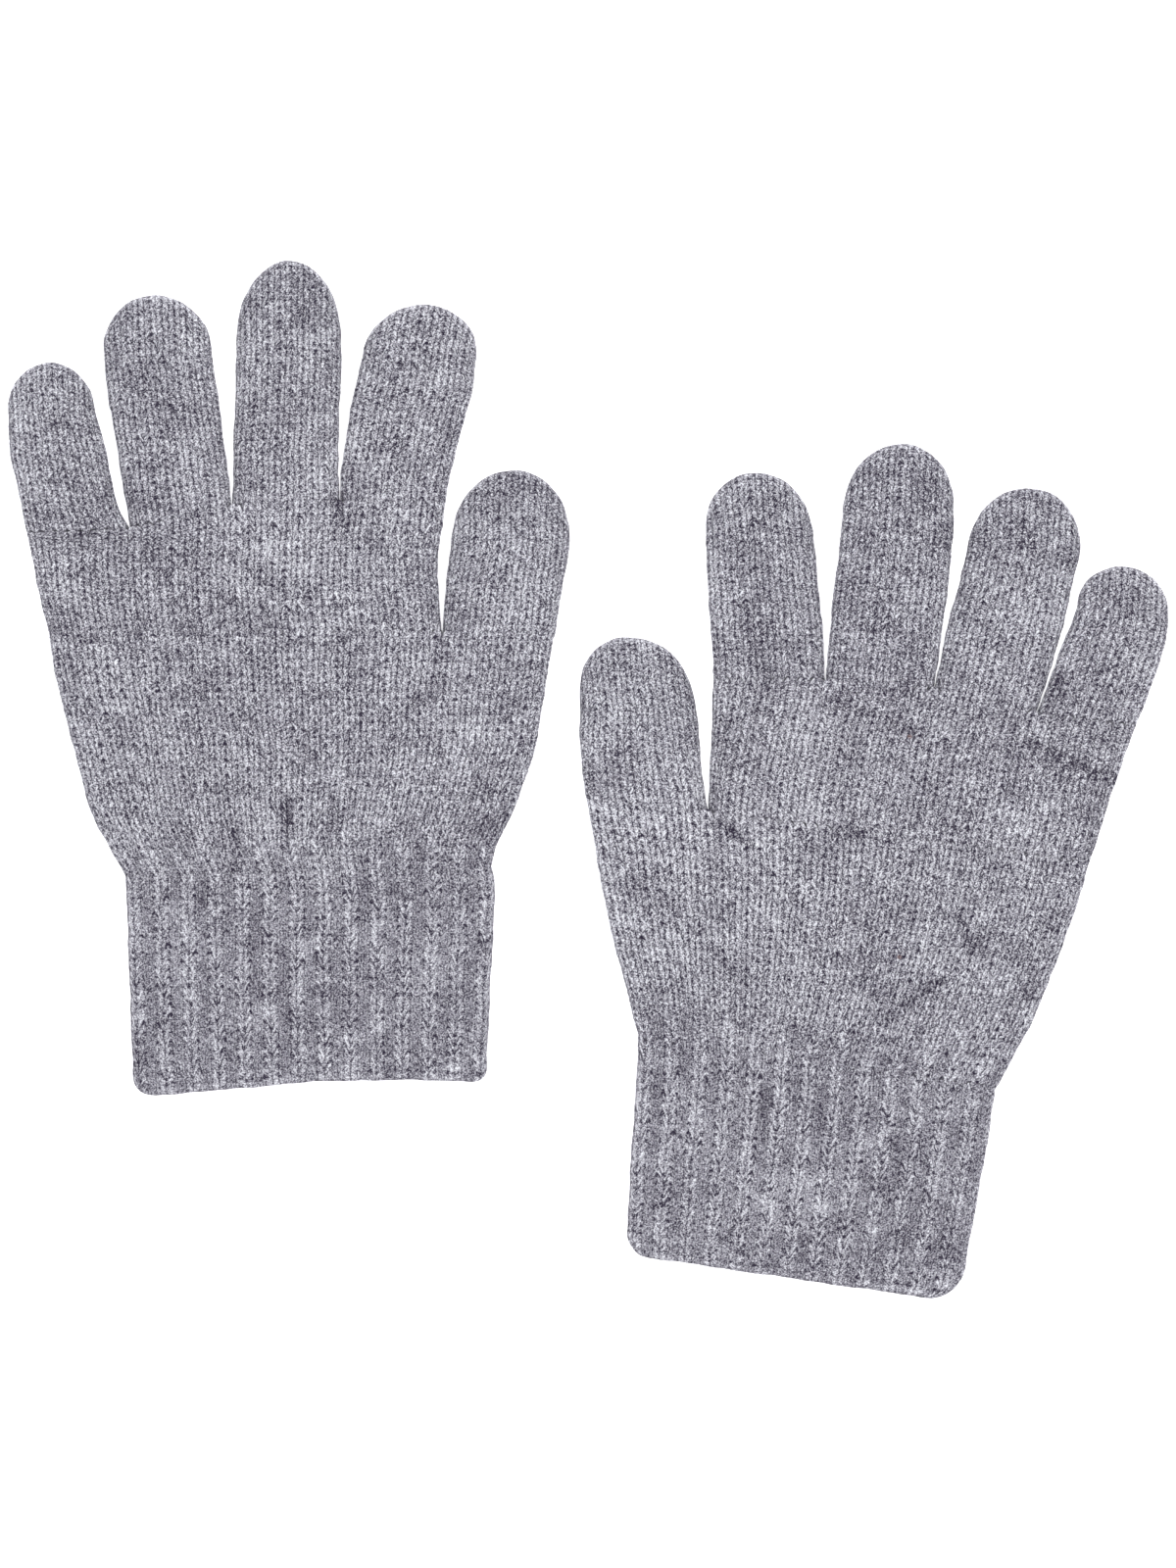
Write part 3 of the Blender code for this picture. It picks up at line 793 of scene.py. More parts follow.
class Layer:
    """One layer of a tube, its upper one or its lower one, on a grid of mesh rows and columns."""

    def __init__(self, tube, sizes, rows, columns, top, random_state):
        self.tube, self.sizes, self.top = tube, sizes, top
        self.row = rows[:, None]
        self.wale = tube.phase + columns[None, :] / COLUMNS_PER_WALE
        self.distance = self.row * tube.length / tube.courses
        self.measure = Measure(tube.width_at(self.distance))
        self.ribbed = tube.ribbed_at(self.distance)
        self.crest = rib_crest(self.wale)
        self.sunk = self.ribbed * (1.0 - self.crest)
        self.form_legs(random_state)
        share_round = np.clip(self.wale_shares() + self.sideways / (0.5 * tube.wales), 0.0, 1.0)
        if columns[0] == 0:
            share_round[:, 0] = 0.0
        self.side, self.turn = self.measure.section(share_round * self.measure.half_round)
        self.across = 0.5 + self.side / self.measure.width
        self.place_points()
        self.raise_relief(random_state)

    def wale_shares(self):
        """Where the wales run, as shares of the way round from fold to fold."""
        tube = self.tube
        share = (self.wale - tube.phase) / (0.5 * tube.wales)
        if self.ribbed.any():
            whole = np.floor(self.wale / WALES_PER_RIB) * WALES_PER_RIB
            warped = whole + np.interp(self.wale - whole, RIB_WARP_WALES, RIB_WARP_PLACES)
            moved = (warped - tube.phase) / (0.5 * tube.wales)
            share = share + (moved - share) * np.clip(self.ribbed / WRIST_RIB, 0.0, 1.0)
            share = np.clip(share, 0.0, 1.0)
        if tube.anchor:
            anchored = np.interp(self.wale, *tube.anchor)
            fade = DIGIT_ANCHOR if tube.digit else 1.0
            share = share + (anchored - share) * (1.0 - ease(self.row / (fade * tube.courses)))
        if tube.swing:
            swing = tube.swing / self.measure.half_round * ease(self.distance / tube.length)
            share = share + swing * swing_shape(share)
        return share

    def form_legs(self, random_state):
        """The legs of the stitches. A leg is half a wale wide and one course long."""
        tube = self.tube
        leg_count, course_count = int(2 * tube.wales) + 4, tube.courses + 2
        leg = np.floor(2.0 * self.wale + 1e-6).astype(int) % leg_count
        course = np.floor(self.row + 1e-6).astype(int)
        along = self.row - course
        draws = random_state.normal(0.0, self.sizes.unevenness, (3, leg_count, course_count))
        height_draw, place_draw, self.shade_draw = draws[:, leg, course]
        within = self.wale - np.floor(self.wale + 1e-6)
        self.arm = np.abs(2.0 * within - 1.0)
        ridge = np.interp(self.arm, LEG_ARMS, RIDGE_HEIGHTS)
        gap = np.interp(self.arm, LEG_ARMS, GAP_HEIGHTS)
        body = gap + (ridge - gap) * np.sin(math.pi * along)
        self.body = np.clip(body * (1.0 + LEG_SWELL * height_draw), 0.0, 1.0)
        outward = np.where(within > 0.5, 1.0, -1.0)
        self.sideways = ridge * (LEG_SPLAY * outward * (along - LEG_MIDDLE) + LEG_STRAY * place_draw)

    def place_points(self):
        """Plan points, bent into the V of each stitch, and how rounded off they are at a tip."""
        tube = self.tube
        drop = self.sizes.stitch_slant / MM * (ease((self.arm - FOOT_ARM) / STEEP_ARMS) - 0.5)
        drop = drop * (1.0 - VALLEY_SLANT * self.sunk + CREST_SLANT * (self.ribbed - self.sunk))
        self.rounding = np.ones(self.across.shape)
        if tube.hem:
            drop = drop * ease(self.distance / SLANT_FADE)
        if tube.digit:
            drop = drop * ease((tube.length - self.distance) / SLANT_FADE)
            end = tube.round_end(2.0 * self.across - 1.0, tube.tip_length)
            settle = min(tube.length, TIP_SETTLE * tube.tip_length)
            near = np.clip((self.distance - (tube.length - settle)) / settle, 0.0, 1.0)
            distance = np.minimum(self.distance + drop - (tube.length - end) * near**2, end)
            from_end = np.clip((end - distance) / FOLD_RADIUS, 0.0, 1.0)
            self.rounding = np.sqrt(1.0 - (1.0 - from_end) ** 2)
            self.rounding[-1] = 0.0
        else:
            distance = self.distance + drop
        self.plan_points = tube.plan_at(distance, self.across)

    def relief(self, random_state):
        """Height of the knit above or below its plain form, along the section's normal."""
        upright = np.sin(self.turn)
        rib_height = self.sizes.rib_height / MM
        facing_up = upright**2 if self.top else np.zeros(upright.shape)
        depth = -self.sizes.stitch_relief / MM * (1.0 - self.body) * (1.0 - VALLEY_SMOOTHING * self.sunk)
        depth = depth + rib_height * self.ribbed * self.crest * facing_up
        depth = depth - 0.5 * rib_height * self.sunk * (1.0 - facing_up)
        depth = depth * np.clip(self.rounding * RELIEF_FADE, 0.0, 1.0)
        if self.tube.hem:
            near_hem = np.clip(self.distance, 0.0, 1.0)
            depth = depth - HEM_ROUND * (1.0 - np.sqrt(1.0 - (1.0 - near_hem) ** 2))
        depth = depth + random_state.normal(0.0, POINT_STRAY, depth.shape) * (self.rounding > 0.5)
        depth = depth * (SIDE_RELIEF + (1.0 - SIDE_RELIEF) * upright)
        return depth if self.top else np.minimum(depth, 0.0)

    def rise(self, points):
        """How far the upper layer's dome, roll and creases lift it."""
        tube = self.tube
        mark = np.clip(np.abs(self.side) / np.maximum(self.measure.flat, 0.1), 0.0, 1.0)
        from_base = ease(self.distance / DOME_FADE)
        rise = (1.0 - mark**HAND_DOME_POWER) * HAND_DOME
        if tube.digit:
            rise = rise + ((1.0 - mark**2) * FINGER_DOME * self.rounding - rise) * from_base
        elif tube.kind == "lower_hand":
            rise = (rise + roll(points, tube.glove)) * from_base
        elif tube.kind == "cuff":
            rise = 0.0
        creased = rise - crease_depth(points, tube.glove.creases) * self.rounding
        return creased * (1.0 - mark**FOLD_FADE_POWER)

    def raise_relief(self, random_state):
        """The layer's points in space and the tones that they give the yarn, painted shade in the creases
        among them.
        """
        tube = self.tube
        left, right = tube.edges_at(self.distance)
        along_width = (right - left) / self.measure.width[..., None]
        depth = self.relief(random_state)
        outward = np.cos(self.turn) * np.sign(self.side)
        points = self.plan_points + (depth * outward)[..., None] * along_width
        lift = HALF_HEIGHT * np.sin(self.turn) * self.rounding + depth * np.sin(self.turn)
        height = HALF_HEIGHT - lift
        shade = np.zeros(height.shape)
        if self.top:
            height = HALF_HEIGHT + lift + self.rise(points)
            height = height + waves(points, SWELLS) * np.sin(self.turn) * self.rounding
            # Painted shade in the creases, each stitch a little darker or lighter, over the patches' own
            # tone
            own_shade = CREASE_SHADE * np.clip(1.0 + self.shade_draw, 0.0, CREASE_SHADE_MOST)
            shade = patch_tone(points, tube.glove.patches)
            shade = shade - own_shade * crease_depth(points, tube.glove.creases)
        self.points = np.concatenate([drifted(points), height[..., None]], axis=-1)
        tones = [shade, self.sunk, self.ribbed]
        self.tones = np.stack([np.broadcast_to(tone, shade.shape) for tone in tones], axis=-1)


def inner_layer(tube, rows, columns):
    """Points of the plain inside of one layer, above and below the slit, as two arrays."""
    distance = rows[:, None] * tube.length / tube.courses
    measure = Measure(tube.width_at(distance))
    side, turn = measure.section(columns[None, :] / (4.0 * tube.wales) * measure.half_round)
    across = 0.5 + side * (1.0 - 2.0 * JERSEY_WALL / measure.width) / measure.width
    height = 0.5 * SLIT * np.sin(turn)
    if tube.digit:
        end = tube.round_end(2.0 * side / measure.width, tube.tip_length - JERSEY_WALL)
        near = rows[:, None] / tube.courses
        distance = distance - (tube.length - end) * near**2
        height = height * np.where(near >= 1.0, 0.0, 1.0)
    points = drifted(tube.plan_at(distance + 0.0 * across, across))
    upper = np.concatenate([points, (HALF_HEIGHT + height)[..., None]], axis=-1)
    lower = np.concatenate([points, (HALF_HEIGHT - height)[..., None]], axis=-1)
    return upper, lower


def tip_zips(number, count):
    """Joins the two edges of a finger's tip, outside and inside, and closes each with triangles."""
    zips = []
    for row in (0, len(number) - 1):
        number[row, count + 1 :] = number[row, 2:count:2][::-1]
        first = number[row, 0:count:2]
        middle = number[row, 1 : count + 1 : 2]
        after = number[row, 2 : count + 1 : 2]
        zips.append(np.stack([first, middle, after] if row else [after, middle, first], axis=1))
    return zips


def knit_mesh(tube, sizes):
    """The tube's closed mesh: relief outside, plain inside, with its stitch and bake maps."""
    random_state = np.random.default_rng(sizes.seed + sum(map(ord, tube.name)))
    count = int(4 * tube.wales)
    columns = np.arange(count + 1)
    rows = tube.rows()
    upper = Layer(tube, sizes, rows, columns, True, random_state)
    lower = Layer(tube, sizes, rows, columns[2:-1:2], False, random_state)
    outer = np.concatenate([upper.points, lower.points[:, ::-1]], axis=1)
    outer_tones = np.concatenate([upper.tones, lower.tones[:, ::-1]], axis=1)
    inner_rows = np.linspace(0.0, 1.0, INNER_ROWS) * tube.courses
    inner_upper, inner_lower = inner_layer(tube, inner_rows, columns)
    inner = np.concatenate([inner_upper, inner_lower[:, 2:-1:2][:, ::-1]], axis=1)
    inner_tones = np.zeros((*inner.shape[:2], len(TONES)))

    # A finger is one run of rings from its inner tip to its outer one, any other tube a loop
    ring = outer.shape[1]
    zips = []
    if tube.digit:
        rings = np.concatenate([inner[::-1], outer])
        tones = np.concatenate([inner_tones, outer_tones])
        courses = np.concatenate([inner_rows[::-1], rows])
        number = np.arange(len(rings) * ring).reshape(len(rings), ring)
        zips = tip_zips(number, count)
        below, above = number[:-1], number[1:]
        foot, head = courses[:-1].copy(), courses[1:].copy()
        foot[len(inner_rows) - 1] -= 1.0
        inner_band = np.arange(len(below)) < len(inner_rows)
        mouth_rows = [len(inner_rows)]
    else:
        rings = np.concatenate([outer, inner[::-1]])
        tones = np.concatenate([outer_tones, inner_tones])
        courses = np.concatenate([rows, inner_rows[::-1]])
        below = np.arange(len(rings) * ring).reshape(len(rings), ring)
        above = np.roll(below, -1, axis=0)
        foot, head = courses.copy(), np.roll(courses, -1)
        head[len(rows) - 1] += 1.0
        foot[-1] -= 1.0
        inner_band = np.arange(len(below)) >= len(rows) - 1
        mouth_rows = [0, len(rows) - 1]
    quads = np.stack([below, np.roll(below, -1, 1), np.roll(above, -1, 1), above], axis=-1).reshape(-1, 4)

    wale = upper.wale[0]
    wale_ring = np.concatenate([wale, np.linspace(wale[-1], wale[0] + tube.wales, count // 2 + 1)[1:]])
    left, right = np.tile(wale_ring[:-1], len(below)), np.tile(wale_ring[1:], len(below))
    foot, head = np.repeat(foot, ring), np.repeat(head, ring)
    corners = ((left, foot), (right, foot), (right, head), (left, head))
    knit_uv = np.stack([np.stack(corner, 1) for corner in corners], axis=1)
    vertices = rings.reshape(-1, 3) * MM
    on_top = np.tile(np.arange(ring) < count, len(below))
    bake_uv = bake_places(vertices, quads, on_top, np.repeat(inner_band, ring))
    mouth = np.repeat(np.isin(np.arange(len(rings)), mouth_rows), ring)
    return Knit(vertices, tones.reshape(-1, len(TONES)), mouth, quads, zips, knit_uv, bake_uv)


def bake_places(vertices, quads, on_top, inside):
    """A map for baking: the layers side by side, the inside ones small at the end."""
    low, high = vertices[:, :2].min(0), vertices[:, :2].max(0)
    places = (vertices[quads][:, :, :2] - low) / (high - low)
    narrow = 0 if (high - low)[0] <= (high - low)[1] else 1

    # The upper layer fills the map up to 0.45, the lower one up to 0.9 and the inside the rest
    shift = np.where(inside, 0.90, np.where(on_top, 0.005, 0.455))
    scale = np.where(inside, 0.09, 0.44)
    places[..., narrow] = places[..., narrow] * scale[:, None] + shift[:, None]
    start = np.where(inside & ~on_top, 0.505, 0.005)
    size = np.where(inside, 0.49, 0.99)
    places[..., 1 - narrow] = places[..., 1 - narrow] * size[:, None] + start[:, None]
    return places


def knit_object(tube, knit, material):
    """The mesh object of a knitted tube, with its maps, its tones and sharp mouths."""
    triangles = np.concatenate(knit.zips) if knit.zips else np.zeros((0, 3), int)
    used, compact = np.unique(np.concatenate([knit.quads.ravel(), triangles.ravel()]), return_inverse=True)
    mesh = bpy.data.meshes.new(tube.name + "_knit")
    mesh.vertices.add(len(used))
    mesh.vertices.foreach_set("co", knit.vertices[used].astype(np.float32).ravel())
    mesh.loops.add(len(compact))
    mesh.loops.foreach_set("vertex_index", compact.astype(np.int32))
    totals = np.concatenate([np.full(len(knit.quads), 4), np.full(len(triangles), 3)])
    starts = np.concatenate([[0], np.cumsum(totals)[:-1]])
    mesh.polygons.add(len(totals))
    mesh.polygons.foreach_set("loop_start", starts.astype(np.int32))
    mesh.polygons.foreach_set("loop_total", totals.astype(np.int32))
    padding = np.zeros((triangles.size, 2))
    for name, places in (("Knit", knit.knit_uv), ("OFBake", knit.bake_uv)):
        uv = mesh.uv_layers.new(name=name)
        flat = np.concatenate([places.reshape(-1, 2), padding])
        uv.data.foreach_set("uv", flat.astype(np.float32).ravel())
    for column, name in enumerate(TONES):
        tone = mesh.attributes.new(name=name, type="FLOAT", domain="POINT")
        tone.data.foreach_set("value", knit.tones[used, column].astype(np.float32))
    mesh.update(calc_edges=True)
    mesh.validate()
    mesh.shade_smooth()
    ends = np.empty(2 * len(mesh.edges), np.int32)
    mesh.edges.foreach_get("vertices", ends)
    sharp = mesh.attributes.new(name="sharp_edge", type="BOOLEAN", domain="EDGE")
    sharp.data.foreach_set("value", knit.mouth[used][ends].reshape(-1, 2).all(axis=1))
    mesh.materials.append(material)
    piece = bpy.data.objects.new(tube.name + "_knit", mesh)
    bpy.context.scene.collection.objects.link(piece)
    return piece


def knit_piece(tube, sizes, material):
    piece = knit_object(tube, knit_mesh(tube, sizes), material)
    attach(piece, "root")
    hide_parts(tube.name)
    girth = 2.0 * Measure(tube.width_at(np.linspace(0.0, tube.length, 60))).half_round
    area = girth.mean() * tube.length
    if tube.digit:
        area -= ROUND_TIP_LOSS * girth[-1] * tube.tip_length
    return piece


def glove_tubes(glove):
    """All the tubes of one glove by name, each set to go on from the wales below it."""
    wrist, thumb_line = straight(glove.wrist), straight(glove.thumb_line)
    knuckles = np.array(glove.knuckles)
    fingers_from, fingers_to = (glove.thumb_to, 1.0) if glove.thumb_from == 0.0 else (0.0, glove.thumb_from)
    cuff_lines = stack_up(np.array(glove.hem), glove.cuff, wrist)
    cuff = Tube(glove, "cuff", cuff_lines, glove.lower_wales, CUFF_COURSE)
    lower_lines = stack_up(wrist, glove.lower, thumb_line)
    lower = Tube(glove, "lower_hand", lower_lines, glove.lower_wales, LOWER_COURSE)
    lower.swing = glove.lower_swing
    upper_lines = stack_up(part_of(thumb_line, fingers_from, fingers_to), glove.upper, knuckles)
    upper = Tube(glove, "upper_hand", upper_lines, glove.upper_wales, UPPER_COURSE)
    upper.meet(lower, fingers_from, fingers_to)
    upper.swing = glove.upper_swing
    tubes = {"cuff": cuff, "lower_hand": lower, "upper_hand": upper}

    share = 1.0 / len(glove.digits)
    places = [("thumb", glove.thumb, lower, thumb_line, glove.thumb_from, glove.thumb_to)]
    for index, (name, digit) in enumerate(glove.digits.items()):
        places.append((name, digit, upper, knuckles, index * share, (index + 1) * share))
    for name, digit, below, line, start, end in places:
        lines = [part_of(line, start, end)] + [straight(section) for section in digit.sections]
        tube = Tube(glove, name, lines, digit.wales, DIGIT_COURSE, digit=digit)
        tubes[name] = tube.meet(below, start, end)
    return tubes


class NodeWriter:
    """Adds nodes to a node tree, each fed with sockets or plain values as it is made."""

    def __init__(self, tree):
        self.tree = tree
        self.made = 0

    def feed(self, socket, value):
        """Links a socket to another, or sets its own value."""
        if hasattr(value, "is_output"):
            self.tree.links.new(value, socket)
        else:
            socket.default_value = value

    def fill(self, sockets, values):
        """Feeds sockets by their names or numbers."""
        for key, value in values.items():
            self.feed(sockets[key], value)

    def add(self, kind, inputs=None, **settings):
        """A new node with its inputs fed, by their names or numbers."""
        node = self.tree.nodes.new(kind)
        node.location = (200 * (self.made // 6) - 1200, 600 - 200 * (self.made % 6))
        self.made += 1
        for key, value in settings.items():
            setattr(node, key, value)
        self.fill(node.inputs, inputs or {})
        return node

    def math(self, operation, *values):
        """The output of a Math node."""
        return self.add("ShaderNodeMath", dict(enumerate(values)), operation=operation).outputs[0]

    def part(self, value, weight):
        """How far a value lies from its middle, one half, times a weight."""
        return self.math("MULTIPLY", self.math("SUBTRACT", value, 0.5), weight)

    def vector(self, *values):
        """The output of a Combine XYZ node."""
        return self.add("ShaderNodeCombineXYZ", dict(enumerate(values))).outputs[0]

    def axes(self, vector):
        """The outputs of a Separate XYZ node."""
        return self.add("ShaderNodeSeparateXYZ", {0: vector}).outputs

    def noise(self, vector, scale, detail, roughness=0.5):
        """A noise texture."""
        inputs = {"Vector": vector, "Scale": scale, "Detail": detail, "Roughness": roughness}
        return self.add("ShaderNodeTexNoise", inputs, noise_dimensions="3D")

    def draw(self, *cell):
        """A random value for each cell."""
        inputs = {"Vector": self.vector(*cell)}
        return self.add("ShaderNodeTexWhiteNoise", inputs, noise_dimensions="3D").outputs["Value"]

    def ramp(self, value, stops, interpolation="LINEAR"):
        """A colour ramp through stops of place and colour."""
        node = self.add("ShaderNodeValToRGB", {0: value})
        node.color_ramp.interpolation = interpolation
        for number, (place, colour) in enumerate(stops):
            stop = node.color_ramp.elements[number] if number < 2 else node.color_ramp.elements.new(place)
            stop.position = place
            stop.color = (*colour, 1.0)
        return node.outputs[0]

    def profile(self, value, stops):
        """A smooth curve through stops of place and height, both from 0 to 1."""
        return self.ramp(value, [(place, (height, height, height)) for place, height in stops], "EASE")


def new_group(name, inputs, outputs):
    """A shader node group with named inputs and outputs, as a tree, its inputs and its exit."""
    group = bpy.data.node_groups.new(name, "ShaderNodeTree")
    for socket_name, default in inputs.items():
        kind = "NodeSocketVector" if default is None else "NodeSocketFloat"
        socket = group.interface.new_socket(name=socket_name, in_out="INPUT", socket_type=kind)
        if default is not None:
            socket.default_value = default
    for socket_name, kind in outputs.items():
        group.interface.new_socket(name=socket_name, in_out="OUTPUT", socket_type=kind)
    tree = NodeWriter(group)
    entry = group.nodes.new("NodeGroupInput")
    entry.location = (-1500, 0)
    leave = group.nodes.new("NodeGroupOutput")
    leave.location = (1500, 0)
    return tree, entry.outputs, leave.inputs


def stitch_leg_group():
    """Places a point in its stitch leg: how near it is to the leg's crest, given as painted light on
    the crest and painted shade in the pits, the leg's own shade and the streaks of fibre that run along it."""
    inputs = {
        "Knit": None,
        "Streak Scale": 2.5,
        "Lean": 0.25,
        "Stray": 0.18,
        "Pit Depth": 1.0,
        "Line Depth": 0.3,
    }
    tree, given, leave = new_group("Stitch leg", inputs, dict.fromkeys(LEG_OUTPUTS, "NodeSocketFloat"))
    calc = tree.math
    stray = tree.axes(tree.noise(given["Knit"], 0.8, 1.0).outputs["Color"])
    straight_on = tree.axes(given["Knit"])
    wale, course = (
        calc("ADD", straight_on[axis], tree.part(stray[axis], given["Stray"])) for axis in (0, 1)
    )
    leg = calc("FLOOR", calc("MULTIPLY", wale, 2.0))
    row = calc("FLOOR", course)
    arm = calc("ABSOLUTE", calc("MULTIPLY_ADD", calc("FRACT", wale), 2.0, -1.0))
    along = calc("FRACT", course)

    # Painted shade in the pits where two courses meet, each pit shaded to its own depth
    depth = calc("MAXIMUM", tree.profile(arm, PIT_SHADE_TONES), given["Line Depth"])
    pit_leg = calc("FLOOR", calc("MULTIPLY_ADD", wale, 2.0, 0.5))
    pit_row = calc("FLOOR", calc("ADD", course, 0.5))
    own_pit_shade = calc("POWER", tree.draw(pit_leg, pit_row), 2.0)
    own_pit_shade = calc("MULTIPLY_ADD", own_pit_shade, PIT_SHADE_SPREAD, PIT_SHADE_LEAST)
    depth = calc("MULTIPLY", depth, calc("MULTIPLY", own_pit_shade, given["Pit Depth"]))
    swell = calc("SINE", calc("MULTIPLY", along, math.pi))
    sunk = calc("MULTIPLY", depth, calc("SUBTRACT", 1.0, swell))
    # The crest's painted light, less the painted shade of the pits
    crest = calc("SUBTRACT", tree.profile(arm, CREST_LIGHT_TONES), sunk)

    # Fibres run along the leg, in a pattern of its own
    shade = tree.draw(leg, row)
    across = calc("SUBTRACT", along, calc("MULTIPLY", arm, given["Lean"]))
    forward = calc("MULTIPLY", arm, STREAK_SQUEEZE)
    lookup = tree.vector(across, forward, calc("MULTIPLY", shade, PATTERN_STEP))
    for streak in STREAKS:
        scale = calc("MULTIPLY", given["Streak Scale"], streak.factor)
        fibres = tree.noise(lookup, scale, streak.detail, roughness=0.65)
        tree.feed(leave[streak.name], fibres.outputs["Fac"])
    tree.fill(leave, {"Crest": crest, "Leg Shade": shade, "Course": row})
    return tree.tree


def melange_group(colours):
    """The mixed grey of the yarn: painted light on the leg crests, painted shade in the pits and in
    the grooves between ribs, fibre streaks, patches along the courses and a few flecks."""
    inputs = {
        "Knit": None,
        "Place": None,
        **dict.fromkeys(LEG_OUTPUTS, 0.5),
        "Form Shade": 0.0,
        "Groove": 0.0,
        "Groove Shade": 0.07,
        "Crest Contrast": 0.75,
        "Patchiness": 0.28,
        "Streak Strength": 1.0,
        "Contrast": 1.0,
        "Level": 0.5,
    }
    outputs = {"Color": "NodeSocketColor", "Fuzz": "NodeSocketFloat"}
    tree, given, leave = new_group("Melange", inputs, outputs)
    calc = tree.math
    wale = calc("MULTIPLY", tree.axes(given["Knit"])[0], PATCH_PER_WALE)
    course = calc("MULTIPLY", given["Course"], PATCH_PER_COURSE)
    patch = tree.noise(tree.vector(wale, course), 1.0, 1.0).outputs["Fac"]
    fuzz, blotch, cloud = (
        tree.noise(given["Place"], scale, detail, roughness=0.6).outputs["Fac"]
        for scale, detail in ((FUZZ_SCALE, 2.0), (BLOTCH_SCALE, 1.0), (CLOUD_SCALE, 2.0))
    )

    # What follows the stitch legs, their painted crest light and pit shade among it, weaker in the grooves
    # between ribs
    strength = calc("MULTIPLY_ADD", cloud, CONTRAST_SPREAD, CONTRAST_LEAST)
    strength = calc("MULTIPLY", strength, given["Crest Contrast"])
    total = calc("MULTIPLY", calc("SUBTRACT", given["Crest"], CREST_MIDDLE), strength)
    for streak in STREAKS:
        part = tree.part(given[streak.name], streak.weight)
        total = calc("MULTIPLY_ADD", part, given["Streak Strength"], total)
    own_shade = calc("SUBTRACT", given["Leg Shade"], 0.5)
    total = calc("MULTIPLY_ADD", own_shade, LEG_SHADE_WEIGHT, total)
    total = calc("MULTIPLY", total, calc("MULTIPLY_ADD", given["Groove"], -GROOVE_CALM, 1.0))

    # What lies over them
    for value, weight in (
        (patch, PATCH_WEIGHT),
        (fuzz, FUZZ_WEIGHT),
        (blotch, given["Patchiness"]),
        (cloud, CLOUD_WEIGHT),
    ):
        total = calc("ADD", total, tree.part(value, weight))
    # The patches' tone and the painted shade in the creases
    total = calc("ADD", total, given["Form Shade"])
    # Painted shade in the grooves between ribs
    total = calc("SUBTRACT", total, calc("MULTIPLY", given["Groove"], given["Groove Shade"]))
    tone = calc("MULTIPLY_ADD", total, given["Contrast"], given["Level"])
    grey = tree.ramp(tone, [(0.0, colours.dark), (1.0, colours.light), (0.5, colours.middle)])

    # Flecks are the few cells that draw a high value, near their middles
    cells = {"Vector": given["Place"], "Scale": FLECK_SCALE}
    spots = tree.add("ShaderNodeTexVoronoi", cells, voronoi_dimensions="3D").outputs
    pick = tree.add("ShaderNodeSeparateColor", {0: spots["Color"]}).outputs[0]
    rare = calc("GREATER_THAN", pick, FLECK_RARITY)
    core = calc("LESS_THAN", spots["Distance"], FLECK_RADIUS)
    share = calc("MULTIPLY", calc("MULTIPLY", rare, core), FLECK_STRENGTH)
    flecked = {"Factor": share, 6: grey, 7: (*colours.fleck, 1.0)}
    mixed = tree.add("ShaderNodeMix", flecked, data_type="RGBA").outputs[2]
    tree.fill(leave, {"Color": mixed, "Fuzz": fuzz})
    return tree.tree


def yarn_material(name, leg_group, melange):
    """Soft matt yarn: mixed colour with painted light and shade on its stitches, fine fibre relief and
    a pale nap. Its look goes over from the jersey's to the rib's with the ribs' own height."""
    material = bpy.data.materials.new(name)
    material.use_nodes = True
    tree = NodeWriter(material.node_tree)
    shader = material.node_tree.nodes["Principled BSDF"]
    # The tones of each mesh point: patch tone with painted crease shade, the groove that paints shade
    # between ribs, and how ribbed it is
    shade, groove, ribbed = (
        tree.add("ShaderNodeAttribute", attribute_name=tone).outputs["Fac"] for tone in TONES
    )
    look = {
        field: tree.math("MULTIPLY_ADD", ribbed, getattr(RIB_LOOK, field) - plain, plain)
        for field, plain in JERSEY_LOOK._asdict().items()
    }
    knit = tree.add("ShaderNodeUVMap", uv_map="Knit").outputs["UV"]
    leg_inputs = {"Knit": knit, "Pit Depth": look["pit_depth"], "Line Depth": look["line_depth"]}
    leg = tree.add("ShaderNodeGroup", leg_inputs, node_tree=leg_group)
    mix_inputs = {
        "Knit": knit,
        "Place": tree.add("ShaderNodeTexCoord").outputs["Object"],
        **{socket: leg.outputs[socket] for socket in LEG_OUTPUTS},
        "Form Shade": shade,
        "Groove": groove,
        "Streak Strength": look["streak_strength"],
        "Patchiness": look["patchiness"],
        "Contrast": look["contrast"],
        "Level": look["level"],
    }
    mix = tree.add("ShaderNodeGroup", mix_inputs, node_tree=melange)
    fibre = tree.math("ADD", leg.outputs["Fine Streak"], mix.outputs["Fuzz"])
    bump = tree.add("ShaderNodeBump", {"Strength": 0.8, "Distance": 0.18 * MM, "Height": fibre})
    surface = {
        "Base Color": mix.outputs["Color"],
        "Roughness": 0.92,
        "Metallic": 0.0,
        "Specular IOR Level": 0.25,
        "Sheen Weight": 0.25,
        "Sheen Roughness": 0.5,
        "Sheen Tint": (0.93, 0.92, 1.0, 1.0),
        "Normal": bump.outputs["Normal"],
    }
    tree.fill(shader.inputs, surface)
    return material


def yarns():
    """The two yarn materials, made once: the jersey's and the rib's."""
    names = ("jersey_yarn", "rib_yarn")
    if names[0] not in bpy.data.materials:
        groups = stitch_leg_group(), melange_group(bpy.context.scene.glove_colours)
        for name in names:
            yarn_material(name, *groups)
    return [bpy.data.materials[name] for name in names]


